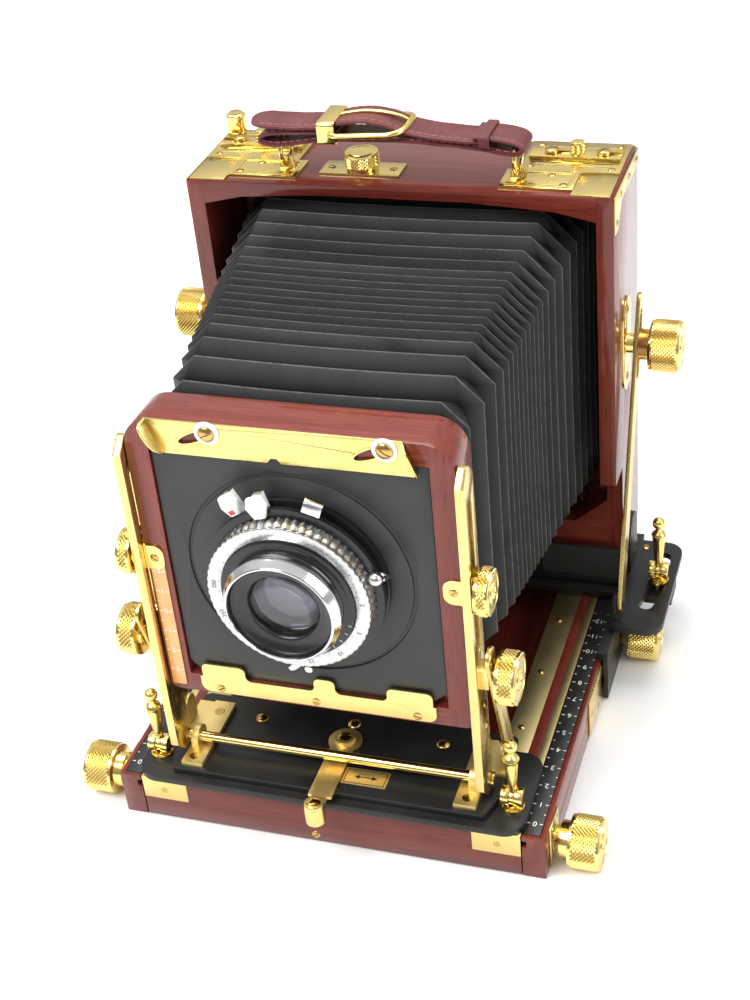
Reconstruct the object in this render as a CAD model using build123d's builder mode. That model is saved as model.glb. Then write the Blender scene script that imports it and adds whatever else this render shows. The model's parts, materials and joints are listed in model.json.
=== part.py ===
"""Wooden folding field camera, 4 x 5 inch format, standing open on its own bed.

Frame: the origin is the mouth of the tripod socket on the underside of the bed, +Z up, the lens
looks along -Y and X runs across the camera. All sizes are in millimetres.
"""

import math
import os

from build123d import *

os.makedirs("parts", exist_ok=True)

# ---------------------------------------------------------------- driving dimensions
GAP = 0.3  # running gap between plates that slide on each other

# Bed and its sliding track
BED_WIDTH = 168.0
BED_LENGTH = 190.0
BED_HEIGHT = 20.0
BED_FRONT = -BED_LENGTH / 2
BED_BACK = BED_LENGTH / 2
BED_SIDE = BED_WIDTH / 2
BOARD_THICK = 4.0  # bottom board between the side rails
CHANNEL_HALF = 75.3  # half width of the channel that the track slides in
TRACK_HALF = 74.9
TRACK_INNER = 57.5  # inner edge of the track's rails
TRACK_BACK = 85.0
CROSSPIECE_BACK = BED_FRONT + 8.5
RAIL_BOTTOM = 15.0
STRIP_THICK = 0.8  # brass strips let into the top of the track
PLATE_THICK = 0.6  # corner plates and engraved scales
WOOD_STRIP = (67.8, 71.7)  # wood left showing between the brass strips
SCALE_OUTER = 82.0

# Rack and pinion focusing
MODULE = 0.8
PINION_TEETH = 12
PITCH_RADIUS = MODULE * PINION_TEETH / 2
TOOTH_HEIGHT = 0.65 * MODULE  # stub teeth, above and below the pitch line
SHAFT_Y = BED_FRONT + 12.0
SHAFT_Z = 10.0
SHAFT_RADIUS = 2.5
RACK_X = 62.0  # middle of each rack
RACK_WIDTH = 5.0
KNOB_RADIUS = 10.0

# Front standard
CARRIAGE_Z = BED_HEIGHT + 0.4
CARRIAGE_THICK = 2.8
SWING_Z = CARRIAGE_Z + CARRIAGE_THICK + 0.4
SWING_THICK = 2.6
SWING_TOP = SWING_Z + SWING_THICK
SWING_Y = -67.0  # vertical axis that the front standard swings about
FOOT_THICK = 2.0
TILT_Y, TILT_Z = -80.0, 31.5  # rod that the lens standard tilts about
ROD_RADIUS = 2.0
UPRIGHT_IN, UPRIGHT_OUT = 58.4, 61.4
UPRIGHT_Y = (-91.0, -79.0)
UPRIGHT_TOP = 171.0
SLOT_Y = -85.0
BRACE_Y, BRACE_Z = -68.0, 36.0  # lower pivot of the tilt braces
TILT_STUD_Y, TILT_STUD_Z = -83.0, 84.0
RISE_STUD_Z = 122.0
STUD_RADIUS = 2.0

# Lens frame, lens board and lens
FRAME_HALF = 58.0
FRAME_Z = (61.5, 179.5)
FRAME_Y = (-87.2, -69.2)
BOARD_HALF = 49.0
BOARD_Z = (70.0, 170.6)
BOARD_SHEET = 3.0
LENS_Z = 121.0
BOARD_FRONT = FRAME_Y[0] + 0.8
HOUSING_RADIUS = 32.5
HOUSING_FRONT = -94.5
HOUSING_REAR = -74.0
RING_RADIUS = 29.5
RING_FRONT = -100.4
NECK_RADIUS = 24.0
NECK_FRONT = -100.8
CELL_RADIUS = 20.2
LENS_FRONT = -110.0

# Rear standard
SADDLE_Z = BED_HEIGHT + 0.5
SADDLE_THICK = 3.6
REAR_PLATE_Z = SADDLE_Z + SADDLE_THICK + 0.5
REAR_PLATE_THICK = 2.8
REAR_PLATE_TOP = REAR_PLATE_Z + REAR_PLATE_THICK
REAR_SWING_Y = 60.0
FLANGE_IN, FLANGE_OUT = 85.1, 87.1
CLAMP_Y, CLAMP_Z = 39.0, 10.0
LEVER_X, LEVER_Y = 99.5, 55.0
BOX_HALF = 84.0
BOX_Y = (44.0, 93.0)
BOX_Z = (35.0, 206.0)
WALL = 6.5
HINGE_Y, HINGE_Z = 67.0, 44.0
REAR_BRACE_Y, REAR_BRACE_Z = 29.0, 34.0
BRACE_STUD_Z = 134.0
BACK_RECESS_Y = 87.0
HANDLE_Y = 57.0
RING_X, RING_Z = 46.0, 215.0  # middle of each strap ring, which slides round through its lug
RING_BEND, WIRE = 6.0, 1.0


def save(piece, name):
    """Label a finished sub-part and write its STEP file."""
    piece.part.label = name
    export_step(piece.part, f"parts/{name}.step")


def block(x, y, z, mode=Mode.ADD):
    """A box between two limits on each axis, inside the open part."""
    centre = ((x[0] + x[1]) / 2, (y[0] + y[1]) / 2, (z[0] + z[1]) / 2)
    with Locations(centre):
        Box(abs(x[1] - x[0]), abs(y[1] - y[0]), abs(z[1] - z[0]), mode=mode)


def rod_x(x, y, z, radius, mode=Mode.ADD):
    """A round bar or hole along X between two limits, inside the open part."""
    with Locations(Location(((x[0] + x[1]) / 2, y, z), (0, 90, 0))):
        Cylinder(radius, abs(x[1] - x[0]), mode=mode)


def rod_y(x, y, z, radius, mode=Mode.ADD):
    """A round bar or hole along Y between two limits, inside the open part."""
    with Locations(Location((x, (y[0] + y[1]) / 2, z), (90, 0, 0))):
        Cylinder(radius, abs(y[1] - y[0]), mode=mode)


def rod_z(x, y, z, radius, mode=Mode.ADD):
    """A round bar or hole along Z between two limits, inside the open part."""
    with Locations((x, y, (z[0] + z[1]) / 2)):
        Cylinder(radius, abs(z[1] - z[0]), mode=mode)


# ---------------------------------------------------------------- bed
with BuildPart() as bed_frame:
    block((-BED_SIDE, BED_SIDE), (BED_FRONT, BED_BACK), (0, BED_HEIGHT))
    block((-CHANNEL_HALF, CHANNEL_HALF), (BED_FRONT, BED_BACK - 8), (BOARD_THICK, BED_HEIGHT), Mode.SUBTRACT)
    block((-CHANNEL_HALF, CHANNEL_HALF), (BED_FRONT, CROSSPIECE_BACK + 0.5), (0, BED_HEIGHT), Mode.SUBTRACT)
    for side in (-1, 1):
        # groove for the track's tongue
        groove = (side * CHANNEL_HALF, side * (CHANNEL_HALF + 1.7))
        block(groove, (BED_FRONT, BED_BACK - 8), (RAIL_BOTTOM - 0.4, RAIL_BOTTOM + 2.4), Mode.SUBTRACT)
        # shallow recess for the engraved scale
        recess_x = (side * CHANNEL_HALF, side * SCALE_OUTER)
        recess_y = (BED_FRONT + 1.5, BED_BACK - 2.5)
        block(recess_x, recess_y, (BED_HEIGHT - PLATE_THICK, BED_HEIGHT), Mode.SUBTRACT)
        # focusing shaft bearing and pocket behind the side slot
        rod_x((side * CHANNEL_HALF, side * BED_SIDE), SHAFT_Y, SHAFT_Z, SHAFT_RADIUS + 0.05, Mode.SUBTRACT)
        block((side * 81.9, side * BED_SIDE), (5, 75), (CLAMP_Z - 2.5, CLAMP_Z + 2.5), Mode.SUBTRACT)
    rod_z(0, 0, (0, 1.6), 16.05, Mode.SUBTRACT)
    rod_z(0, 0, (0, BOARD_THICK), 8.05, Mode.SUBTRACT)
save(bed_frame, "bed_frame")

SOCKET_RADIUS = 3.97  # tapped hole of a 3/8 inch tripod thread
with BuildPart() as tripod_socket:
    rod_z(0, 0, (0, 1.6), 16.0)
    rod_z(0, 0, (0, 11.0), 8.0)
    rod_z(0, 0, (0, 11.0), SOCKET_RADIUS, Mode.SUBTRACT)
save(tripod_socket, "tripod_socket")

with BuildPart() as bed_scales:
    for side in (-1, 1):
        strip = (side * (CHANNEL_HALF + 0.1), side * (SCALE_OUTER - 0.1))
        block(strip, (BED_FRONT + 1.6, BED_BACK - 2.6), (BED_HEIGHT - PLATE_THICK, BED_HEIGHT))
save(bed_scales, "bed_scales")

SIDE_PLATE_OUT = BED_SIDE + 0.8
with BuildPart() as bed_side_plates:
    for side in (-1, 1):
        span = (side * BED_SIDE, side * SIDE_PLATE_OUT)
        block(span, (SHAFT_Y - 6, SHAFT_Y + 7), (1.0, 19.0))
        rod_x(span, SHAFT_Y, SHAFT_Z, SHAFT_RADIUS + 0.05, Mode.SUBTRACT)
        block(span, (-18, 90), (2.0, 19.0))
        block(span, (5, 75), (CLAMP_Z - 2.5, CLAMP_Z + 2.5), Mode.SUBTRACT)
save(bed_side_plates, "bed_side_plates")

# ---------------------------------------------------------------- focusing track
with BuildPart() as track_frame:
    block((-TRACK_HALF, TRACK_HALF), (BED_FRONT, CROSSPIECE_BACK), (0.6, BED_HEIGHT))
    rail_top = BED_HEIGHT - STRIP_THICK
    block((-TRACK_INNER, TRACK_INNER), (TRACK_BACK - 8, TRACK_BACK), (RAIL_BOTTOM, rail_top))
    for side in (-1, 1):
        block((side * TRACK_INNER, side * TRACK_HALF), (CROSSPIECE_BACK, TRACK_BACK), (RAIL_BOTTOM, rail_top))
        wood_strip = (side * WOOD_STRIP[0], side * WOOD_STRIP[1])
        block(wood_strip, (CROSSPIECE_BACK, TRACK_BACK), (rail_top, BED_HEIGHT))
        # tongue that runs in the bed's groove
        tongue = (side * TRACK_HALF, side * (CHANNEL_HALF + 1.3))
        block(tongue, (BED_FRONT + 4, TRACK_BACK), (RAIL_BOTTOM, RAIL_BOTTOM + 2))
        # channel for the rack, and a rebate for the corner plate
        rack_slot = (side * (RACK_X - RACK_WIDTH / 2), side * (RACK_X + RACK_WIDTH / 2))
        block(rack_slot, (CROSSPIECE_BACK, TRACK_BACK), (RAIL_BOTTOM, RAIL_BOTTOM + 2.2), Mode.SUBTRACT)
        # pocket that clears the pinion behind the crosspiece
        pocket = (side * (RACK_X - RACK_WIDTH / 2 - 0.6), side * (RACK_X + RACK_WIDTH / 2 + 0.6))
        block(pocket, (CROSSPIECE_BACK - 3.0, CROSSPIECE_BACK), (0.6, RAIL_BOTTOM + 2.2), Mode.SUBTRACT)
        corner = (side * 56.5, side * TRACK_HALF)
        block(corner, (BED_FRONT, BED_FRONT + PLATE_THICK), (9.5, BED_HEIGHT), Mode.SUBTRACT)
        block(corner, (BED_FRONT, CROSSPIECE_BACK), (BED_HEIGHT - PLATE_THICK, BED_HEIGHT), Mode.SUBTRACT)
save(track_frame, "track_frame")

with BuildPart() as track_strips:
    for side in (-1, 1):
        for x in ((TRACK_INNER, WOOD_STRIP[0]), (WOOD_STRIP[1], TRACK_HALF)):
            span = (side * x[0], side * x[1])
            block(span, (CROSSPIECE_BACK, TRACK_BACK), (BED_HEIGHT - STRIP_THICK, BED_HEIGHT))
save(track_strips, "track_strips")

with BuildPart() as track_corner_plates:
    for side in (-1, 1):
        corner = (side * 56.5, side * TRACK_HALF)
        block(corner, (BED_FRONT, BED_FRONT + PLATE_THICK), (9.5, BED_HEIGHT))
        block(corner, (BED_FRONT, CROSSPIECE_BACK), (BED_HEIGHT - PLATE_THICK, BED_HEIGHT))
save(track_corner_plates, "track_corner_plates")

# The rack's straight teeth mesh with the pinions on their common pitch line.
PITCH = math.pi * MODULE
PITCH_LINE = SHAFT_Z + PITCH_RADIUS
HALF_TOOTH = PITCH * 0.22  # half thickness on the pitch line, a little under a quarter pitch
FLANK = math.tan(math.radians(20)) * TOOTH_HEIGHT
RACK_TOP = RAIL_BOTTOM + 2.2
RACK_START = CROSSPIECE_BACK + 0.5
rack_teeth = int((TRACK_BACK - 1 - RACK_START) / PITCH)
# The pinion's top tooth points straight up into a gap, so the rack's gaps are whole pitches from the shaft.
first_gap = SHAFT_Y + PITCH * math.ceil((RACK_START - SHAFT_Y) / PITCH + 1)
with BuildPart() as focus_racks:
    for side in (-1, 1):
        with BuildSketch(Plane.YZ.offset(side * RACK_X - RACK_WIDTH / 2)):
            root = PITCH_LINE + TOOTH_HEIGHT + 0.15
            with Locations(((RACK_START + TRACK_BACK - 1) / 2, (root + RACK_TOP) / 2)):
                Rectangle(TRACK_BACK - 1 - RACK_START, RACK_TOP - root)
            for i in range(rack_teeth - 2):
                middle = first_gap + PITCH * (i + 0.5)
                with BuildLine():
                    Polyline(
                        (middle - HALF_TOOTH - FLANK, root + 0.01),
                        (middle - HALF_TOOTH + FLANK, PITCH_LINE - TOOTH_HEIGHT),
                        (middle + HALF_TOOTH - FLANK, PITCH_LINE - TOOTH_HEIGHT),
                        (middle + HALF_TOOTH + FLANK, root + 0.01),
                        close=True,
                    )
                make_face()
        extrude(amount=RACK_WIDTH)
save(focus_racks, "focus_racks")


def involute_flank(base, radius):
    """Angle between an involute's start on its base circle and a larger radius."""
    a = math.acos(min(1.0, base / radius))
    return math.tan(a) - a


with BuildPart() as pinion_shaft:
    rod_x((-92.0, 92.0), SHAFT_Y, SHAFT_Z, SHAFT_RADIUS)
    base = PITCH_RADIUS * math.cos(math.radians(20))
    tip = PITCH_RADIUS + TOOTH_HEIGHT
    half_angle = HALF_TOOTH / PITCH_RADIUS + involute_flank(base, PITCH_RADIUS)
    for side in (-1, 1):
        with BuildSketch(Plane.YZ.offset(side * RACK_X - RACK_WIDTH / 2)):
            with Locations((SHAFT_Y, SHAFT_Z)):
                Circle(PITCH_RADIUS - TOOTH_HEIGHT - 0.15)
            for i in range(PINION_TEETH):
                up = math.pi / 2 + 2 * math.pi * i / PINION_TEETH
                profile = []
                for radius in (PITCH_RADIUS - TOOTH_HEIGHT - 0.3, base, PITCH_RADIUS, tip):
                    spread = half_angle - involute_flank(base, max(base, radius))
                    profile.append((radius, spread))
                polar = [(r, up + s) for r, s in profile] + [(r, up - s) for r, s in reversed(profile)]
                outline = [(SHAFT_Y + r * math.cos(a), SHAFT_Z + r * math.sin(a)) for r, a in polar]
                with BuildLine():
                    Polyline(*outline, close=True)
                make_face()
        extrude(amount=RACK_WIDTH)
save(pinion_shaft, "pinion_shaft")

with BuildPart() as focus_knobs:
    for side in (-1, 1):
        rod_x((side * 85.2, side * 87.4), SHAFT_Y, SHAFT_Z, 5.2)
        rod_x((side * 87.4, side * 91.0), SHAFT_Y, SHAFT_Z, 7.0)
        rod_x((side * 91.0, side * 102.6), SHAFT_Y, SHAFT_Z, KNOB_RADIUS - 0.3)
        rod_x((side * 85.0, side * 92.02), SHAFT_Y, SHAFT_Z, SHAFT_RADIUS + 0.02, Mode.SUBTRACT)
save(focus_knobs, "focus_knobs")

# ---------------------------------------------------------------- front carriage
LEVER_FRONT_X, LEVER_FRONT_Y = 70.0, -84.0
with BuildPart() as carriage_plate:
    with BuildSketch(Plane.XY.offset(CARRIAGE_Z)):
        with Locations((0, -76.0)):
            RectangleRounded(152, 42, 8)
    extrude(amount=CARRIAGE_THICK)
    for side in (-1, 1):
        block((side * 53, side * (TRACK_INNER - GAP)), (-85, -60), (RAIL_BOTTOM, CARRIAGE_Z))
save(carriage_plate, "carriage_plate")


def lever_fork(x, y, z):
    """Washer, slotted barrel and cross pin that a cam lever turns on, inside the open part."""
    rod_z(x, y, (z, z + 1.2), 4.2)
    rod_z(x, y, (z + 1.2, z + 3.0), 2.8)
    rod_x((x - 4, x + 4), y, z + 5.4, 3.6)
    block((x - 1.15, x + 1.15), (y - 5, y + 5), (z + 1.8, z + 10), Mode.SUBTRACT)
    rod_x((x - 3.9, x + 3.9), y, z + 5.4, 1.0)


def cam_lever(x, y, z, name):
    """Cam lever with a tapered grip and a ball end, upright on the fork's cross pin."""
    pin = z + 5.4
    with BuildPart() as lever:
        rod_x((x - 0.95, x + 0.95), y, pin, 3.1)
        block((x - 0.95, x + 0.95), (y - 1.6, y + 1.6), (pin, pin + 5.5))
        with BuildSketch(Plane.XZ.offset(-y)):
            with BuildLine():
                Polyline(
                    (x, pin + 4.4),
                    (x + 1.7, pin + 4.4),
                    (x + 1.9, pin + 7.0),
                    (x + 2.7, pin + 17.0),
                    (x + 3.1, pin + 18.4),
                    (x + 2.4, pin + 19.6),
                    (x + 1.3, pin + 20.4),
                    (x + 1.3, pin + 22.0),
                    (x, pin + 22.0),
                    close=True,
                )
            make_face()
        revolve(axis=Axis((x, y, 0), (0, 0, 1)))
        with Locations((x, y, pin + 24.0)):
            Sphere(2.6)
        rod_x((x - 3, x + 3), y, pin, 1.06, Mode.SUBTRACT)
    save(lever, name)


FORK_Z = CARRIAGE_Z + CARRIAGE_THICK
with BuildPart() as carriage_forks:
    for side in (-1, 1):
        lever_fork(side * LEVER_FRONT_X, LEVER_FRONT_Y, FORK_Z)
save(carriage_forks, "carriage_forks")
cam_lever(-LEVER_FRONT_X, LEVER_FRONT_Y, FORK_Z, "carriage_lever_left")
cam_lever(LEVER_FRONT_X, LEVER_FRONT_Y, FORK_Z, "carriage_lever_right")

# ---------------------------------------------------------------- front swing base
with BuildPart() as front_swing_plate:
    with BuildSketch(Plane.XY.offset(SWING_Z)):
        with Locations((0, (-93.5 - 50.0) / 2)):
            RectangleRounded(129, 43.5, 3)
        with Locations((0, SWING_Y)):
            Circle(66.6, mode=Mode.INTERSECT)
    extrude(amount=SWING_THICK)
save(front_swing_plate, "front_swing_plate")

FOOT_TOP = SWING_TOP + FOOT_THICK
with BuildPart() as front_brackets:
    for side in (-1, 1):
        block((side * 49.5, side * 58.0), (-92, -56), (SWING_TOP, FOOT_TOP))
        block((side * 58.0, side * 64.2), (-73, -57), (SWING_TOP, FOOT_TOP))
        # inner ear that carries the tilt rod
        block((side * 53.6, side * 56.4), (TILT_Y - 4.5, TILT_Y + 4.5), (FOOT_TOP, TILT_Z))
        rod_x((side * 53.6, side * 56.4), TILT_Y, TILT_Z, 4.5)
        rod_x((side * 50, side * 58), TILT_Y, TILT_Z, ROD_RADIUS + 0.05, Mode.SUBTRACT)
        # outer ear and stud for the brace
        block((side * 62.6, side * 64.2), (BRACE_Y - 4, BRACE_Y + 4), (FOOT_TOP, BRACE_Z))
        rod_x((side * 62.6, side * 64.2), BRACE_Y, BRACE_Z, 4.0)
        rod_x((side * 64.2, side * 66.4), BRACE_Y, BRACE_Z, 1.5)
save(front_brackets, "front_brackets")

LOCK_REACH = 37.0  # from the lock's pivot to its end knob
with BuildPart() as swing_lock_lever:
    block((-4.5, 4.5), (SWING_Y - 31, SWING_Y), (SWING_TOP + GAP, SWING_TOP + GAP + 1.2))
    rod_z(0, SWING_Y, (SWING_TOP + GAP, SWING_TOP + GAP + 1.2), 6.5)
    rod_z(0, SWING_Y, (SWING_TOP + GAP, SWING_TOP + GAP + 3.0), 4.0)
    block((-3, 3), (SWING_Y - LOCK_REACH, SWING_Y - 30), (SWING_TOP + GAP, SWING_TOP + GAP + 1.2))
    rod_z(0, SWING_Y - LOCK_REACH, (20.8, SWING_TOP + 3.4), 3.6)
save(swing_lock_lever, "swing_lock_lever")

# ---------------------------------------------------------------- tilting uprights
with BuildPart() as lens_uprights:
    for side in (-1, 1):
        with BuildSketch(Plane.YZ.offset(side * UPRIGHT_IN if side > 0 else -UPRIGHT_OUT)):
            with BuildLine():
                Polyline(
                    (UPRIGHT_Y[0], 35.0),
                    (UPRIGHT_Y[0] + 5.5, TILT_Z - 2.6),
                    (UPRIGHT_Y[1], TILT_Z - 2.6),
                    (UPRIGHT_Y[1], UPRIGHT_TOP - 5),
                    (UPRIGHT_Y[1] - 5, UPRIGHT_TOP),
                    (UPRIGHT_Y[0] + 5, UPRIGHT_TOP),
                    (UPRIGHT_Y[0], UPRIGHT_TOP - 5),
                    close=True,
                )
            make_face()
            with Locations(Location((SLOT_Y, 127.0), 90)):
                SlotOverall(62, 2 * STUD_RADIUS + 0.4, mode=Mode.SUBTRACT)
            with Locations((TILT_Y, TILT_Z)):
                Circle(ROD_RADIUS + 0.02, mode=Mode.SUBTRACT)
        extrude(amount=UPRIGHT_OUT - UPRIGHT_IN)
        # raised block and stud for the brace and its clamp knob
        side_block = (side * UPRIGHT_OUT, side * (UPRIGHT_OUT + 2.9))
        block(side_block, (TILT_STUD_Y - 3.6, TILT_STUD_Y + 3.6), (TILT_STUD_Z - 4, TILT_STUD_Z + 4))
        rod_x((side * UPRIGHT_OUT, side * 73.0), TILT_STUD_Y, TILT_STUD_Z, STUD_RADIUS)
save(lens_uprights, "lens_uprights")

with BuildPart() as tilt_rod:
    rod_x((-62.4, 62.4), TILT_Y, TILT_Z, ROD_RADIUS)
    for side in (-1, 1):
        rod_x((side * (UPRIGHT_OUT + 0.05), side * 62.5), TILT_Y, TILT_Z, 2.9)
save(tilt_rod, "tilt_rod")


def brace(x, pivot, stud, slot, width, hole, name):
    """A pair of flat links, each pivoted at its foot and slotted for the clamp stud at its head."""
    length = math.dist(pivot, stud)
    lean = math.degrees(math.atan2(stud[1] - pivot[1], stud[0] - pivot[0]))
    with BuildPart() as links:
        for side in (-1, 1):
            with BuildSketch(Plane.YZ.offset(x[0] if side > 0 else -x[1])):
                with Locations(Location((pivot[0], pivot[1]), lean)):
                    with Locations(((length + slot[1] + width / 2) / 2 - 1, 0)):
                        SlotOverall(length + slot[1] + width / 2 + 6, width)
                    Circle(hole, mode=Mode.SUBTRACT)
                    with Locations((length + (slot[1] - slot[0]) / 2, 0)):
                        SlotOverall(slot[0] + slot[1], 2 * slot[2], mode=Mode.SUBTRACT)
            extrude(amount=x[1] - x[0])
    save(links, name)


brace((64.6, 66.0), (BRACE_Y, BRACE_Z), (TILT_STUD_Y, TILT_STUD_Z), (10, 9, 2.6), 8.4, 1.55, "tilt_braces")


def clamp_knob(side, x, y, z, radius, bore, bore_end, name):
    """Knurled clamp knob on a collar, turning on its stud; the bore stops short of the face."""
    collar, inner, outer = x
    with BuildPart() as knob:
        rod_x((side * collar, side * inner), y, z, radius * 0.62)
        rod_x((side * inner, side * outer), y, z, radius)
        rod_x((side * collar, side * bore_end), y, z, bore, Mode.SUBTRACT)
    save(knob, name)


KNOB_BORE = STUD_RADIUS + 0.05
for side, word in ((-1, "left"), (1, "right")):
    tilt_x, rise_x = (66.3, 67.4, 74.6), (61.7, 62.4, 67.4)
    clamp_knob(side, tilt_x, TILT_STUD_Y, TILT_STUD_Z, 9.4, KNOB_BORE, 73.3, f"tilt_knob_{word}")
    clamp_knob(side, rise_x, SLOT_Y, RISE_STUD_Z, 8.2, KNOB_BORE, 66.3, f"rise_knob_{word}")

# ---------------------------------------------------------------- lens standard
with BuildPart() as lens_frame:
    with BuildSketch(Plane.XZ.offset(-FRAME_Y[1])):
        with Locations((0, sum(FRAME_Z) / 2)):
            Rectangle(2 * FRAME_HALF, FRAME_Z[1] - FRAME_Z[0])
    extrude(amount=FRAME_Y[1] - FRAME_Y[0])
    upright_edges = lens_frame.edges().filter_by(Axis.Y).sort_by(Axis.Z)
    fillet(upright_edges[-2:], 11)
    fillet(lens_frame.edges().filter_by(Axis.Y).sort_by(Axis.Z)[:2], 3)
    # seat for the lens board, then the opening behind it
    seat_x = (-BOARD_HALF - 0.4, BOARD_HALF + 0.4)
    block(seat_x, (FRAME_Y[0], BOARD_FRONT + BOARD_SHEET), (69.6, 171.0), Mode.SUBTRACT)
    block((-43, 43), FRAME_Y, (LENS_Z - 43, LENS_Z + 43), Mode.SUBTRACT)
    rod_x((-FRAME_HALF, -50), SLOT_Y, RISE_STUD_Z, STUD_RADIUS + 0.02, Mode.SUBTRACT)
    rod_x((50, FRAME_HALF), SLOT_Y, RISE_STUD_Z, STUD_RADIUS + 0.02, Mode.SUBTRACT)
save(lens_frame, "lens_frame")

with BuildPart() as rise_studs:
    for side in (-1, 1):
        block((side * 51.0, side * 58.3), (-88.0, FRAME_Y[0]), (117, 127))
        block((side * FRAME_HALF, side * 58.3), (FRAME_Y[0], -82), (117, 127))
        inner_edge = (side * 51 - 0.1, side * 51 + 0.1)
        fillet(rise_studs.edges().filter_by(Axis.Y).filter_by_position(Axis.X, *inner_edge), 3.5)
        rod_x((side * 50.5, side * 66.0), SLOT_Y, RISE_STUD_Z, STUD_RADIUS)
save(rise_studs, "rise_studs")

with BuildPart() as board_retainer:
    block((-45, 45), (-88.2, FRAME_Y[0]), (62.8, 69.8))
    for x in ((-44, -27), (-0.5, 7.5), (27, 44)):
        block(x, (-88.2, FRAME_Y[0]), (69.8, 75.6))
    corners = board_retainer.edges().filter_by(Axis.Y)
    fillet(corners.filter_by_position(Axis.Z, 62.7, 62.9), 3.4)
    fillet(corners.filter_by_position(Axis.Z, 75.5, 75.7), 2.2)
    inside = corners.filter_by_position(Axis.Z, 69.7, 69.9).filter_by_position(Axis.X, -30, 30)
    fillet(inside, 2.2)
save(board_retainer, "board_retainer")

# The lock slides up to the right on two screws in slanting slots, and lets go of the lens board.
LOCK_SLANT = math.degrees(math.atan2(4.2, 10.0))
with BuildPart() as board_lock:
    with BuildSketch(Plane.XZ.offset(-FRAME_Y[0] + 0.2)):
        with BuildLine():
            Polyline(
                (-49, 180.5), (-43, 167.4), (-6, 167.4), (-4.5, 169.2), (-2.5, 169.2), (-1, 167.4),
                (46, 167.4), (41.5, 180.5), close=True,
            )
        make_face()
        for x, z in ((-30.6, 175.0), (31.0, 175.0)):
            with Locations(Location((x, z), LOCK_SLANT)):
                SlotOverall(14.6, 3.4, mode=Mode.SUBTRACT)
    extrude(amount=0.9)
save(board_lock, "board_lock")

with BuildPart() as lock_screws:
    for x, z in ((-26.2, 176.85), (35.4, 176.85)):
        rod_y(x, (FRAME_Y[0] - 1.4, FRAME_Y[0]), z, 1.5)
        rod_y(x, (FRAME_Y[0] - 2.4, FRAME_Y[0] - 1.4), z, 3.1)
save(lock_screws, "lock_screws")

with BuildPart() as lens_board:
    block((-BOARD_HALF, BOARD_HALF), (BOARD_FRONT, BOARD_FRONT + BOARD_SHEET - 0.2), BOARD_Z)
    chamfer(lens_board.edges().filter_by(Axis.Y).sort_by(Axis.Z)[:2], 6)
    with BuildSketch(Plane.XZ.offset(-BOARD_FRONT)):
        with Locations((0, LENS_Z)):
            Circle(41.6)
            Circle(40.2, mode=Mode.SUBTRACT)
    extrude(amount=-0.8, mode=Mode.SUBTRACT)
    rod_y(0, (BOARD_FRONT, BOARD_FRONT + BOARD_SHEET), LENS_Z, 17.4, Mode.SUBTRACT)
save(lens_board, "lens_board")

GROOVE_FLOOR = 28.5
GROOVE_Y = (-92.4, -89.0)  # ring groove round the shutter that the small levers ride in
with BuildPart() as shutter_body:
    rod_y(0, (HOUSING_FRONT, BOARD_FRONT), LENS_Z, HOUSING_RADIUS)
    rod_y(0, (NECK_FRONT, HOUSING_FRONT), LENS_Z, NECK_RADIUS)
    rod_y(0, (BOARD_FRONT, HOUSING_REAR), LENS_Z, 17.2)
    with BuildSketch(Plane.XZ.offset(-GROOVE_Y[1])):
        with Locations((0, LENS_Z)):
            Circle(HOUSING_RADIUS + 1)
            Circle(GROOVE_FLOOR, mode=Mode.SUBTRACT)
    extrude(amount=GROOVE_Y[1] - GROOVE_Y[0], mode=Mode.SUBTRACT)
    rod_y(0, (NECK_FRONT, HOUSING_REAR), LENS_Z, 13.0, Mode.SUBTRACT)
    rod_y(0, (-88.0, HOUSING_REAR), LENS_Z, 15.2, Mode.SUBTRACT)
save(shutter_body, "shutter_body")

with BuildPart() as speed_ring:
    rod_y(0, (RING_FRONT, HOUSING_FRONT - 0.2), LENS_Z, RING_RADIUS)
    rod_y(0, (RING_FRONT, HOUSING_FRONT - 0.2), LENS_Z, NECK_RADIUS + 0.05, Mode.SUBTRACT)
    with BuildSketch(Plane.XZ.offset(-RING_FRONT)):
        with Locations((0, LENS_Z)):
            with PolarLocations(RING_RADIUS + 1.2, 48):
                Circle(1.6)
    extrude(amount=-3.4, mode=Mode.SUBTRACT)
save(speed_ring, "speed_ring")

LENS_PLANE = Plane(origin=(0, 0, LENS_Z), x_dir=(1, 0, 0), z_dir=(0, 0, 1))
LENS_AXIS = Axis((0, 0, LENS_Z), (0, 1, 0))


def turned(points, name):
    """A piece turned about the lens axis from its half profile of (radius, y) points."""
    with BuildPart() as piece:
        with BuildSketch(LENS_PLANE):
            with BuildLine():
                Polyline(*points, close=True)
            make_face()
        revolve(axis=LENS_AXIS)
    save(piece, name)


turned(
    (
        (12.8, NECK_FRONT - 0.2), (CELL_RADIUS, NECK_FRONT - 0.2), (CELL_RADIUS, LENS_FRONT + 2.6),
        (CELL_RADIUS + 0.8, LENS_FRONT + 1.0), (CELL_RADIUS + 0.8, LENS_FRONT + 0.4),
        (CELL_RADIUS + 0.4, LENS_FRONT), (CELL_RADIUS - 0.2, LENS_FRONT),
        (CELL_RADIUS - 0.8, LENS_FRONT + 3.0), (13.6, LENS_FRONT + 4.6),
        (12.8, LENS_FRONT + 4.6),
    ),
    "lens_front_cell",
)
turned(
    (
        (13.1, -87.9), (15.15, -87.9), (15.15, -73.9), (16.9, -73.9),
        (16.0, -64.0), (15.0, -62.5), (13.1, -62.5),
    ),
    "lens_rear_cell",
)
FRONT_FACE = LENS_FRONT + 4.2  # middle of the front glass
FRONT_ELEMENT = (
    (0, FRONT_FACE + 3.4), (12.7, FRONT_FACE + 3.4), (12.7, FRONT_FACE + 2.2), (9.0, FRONT_FACE + 1.0),
    (4.5, FRONT_FACE + 0.2), (0, FRONT_FACE),
)
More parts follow.
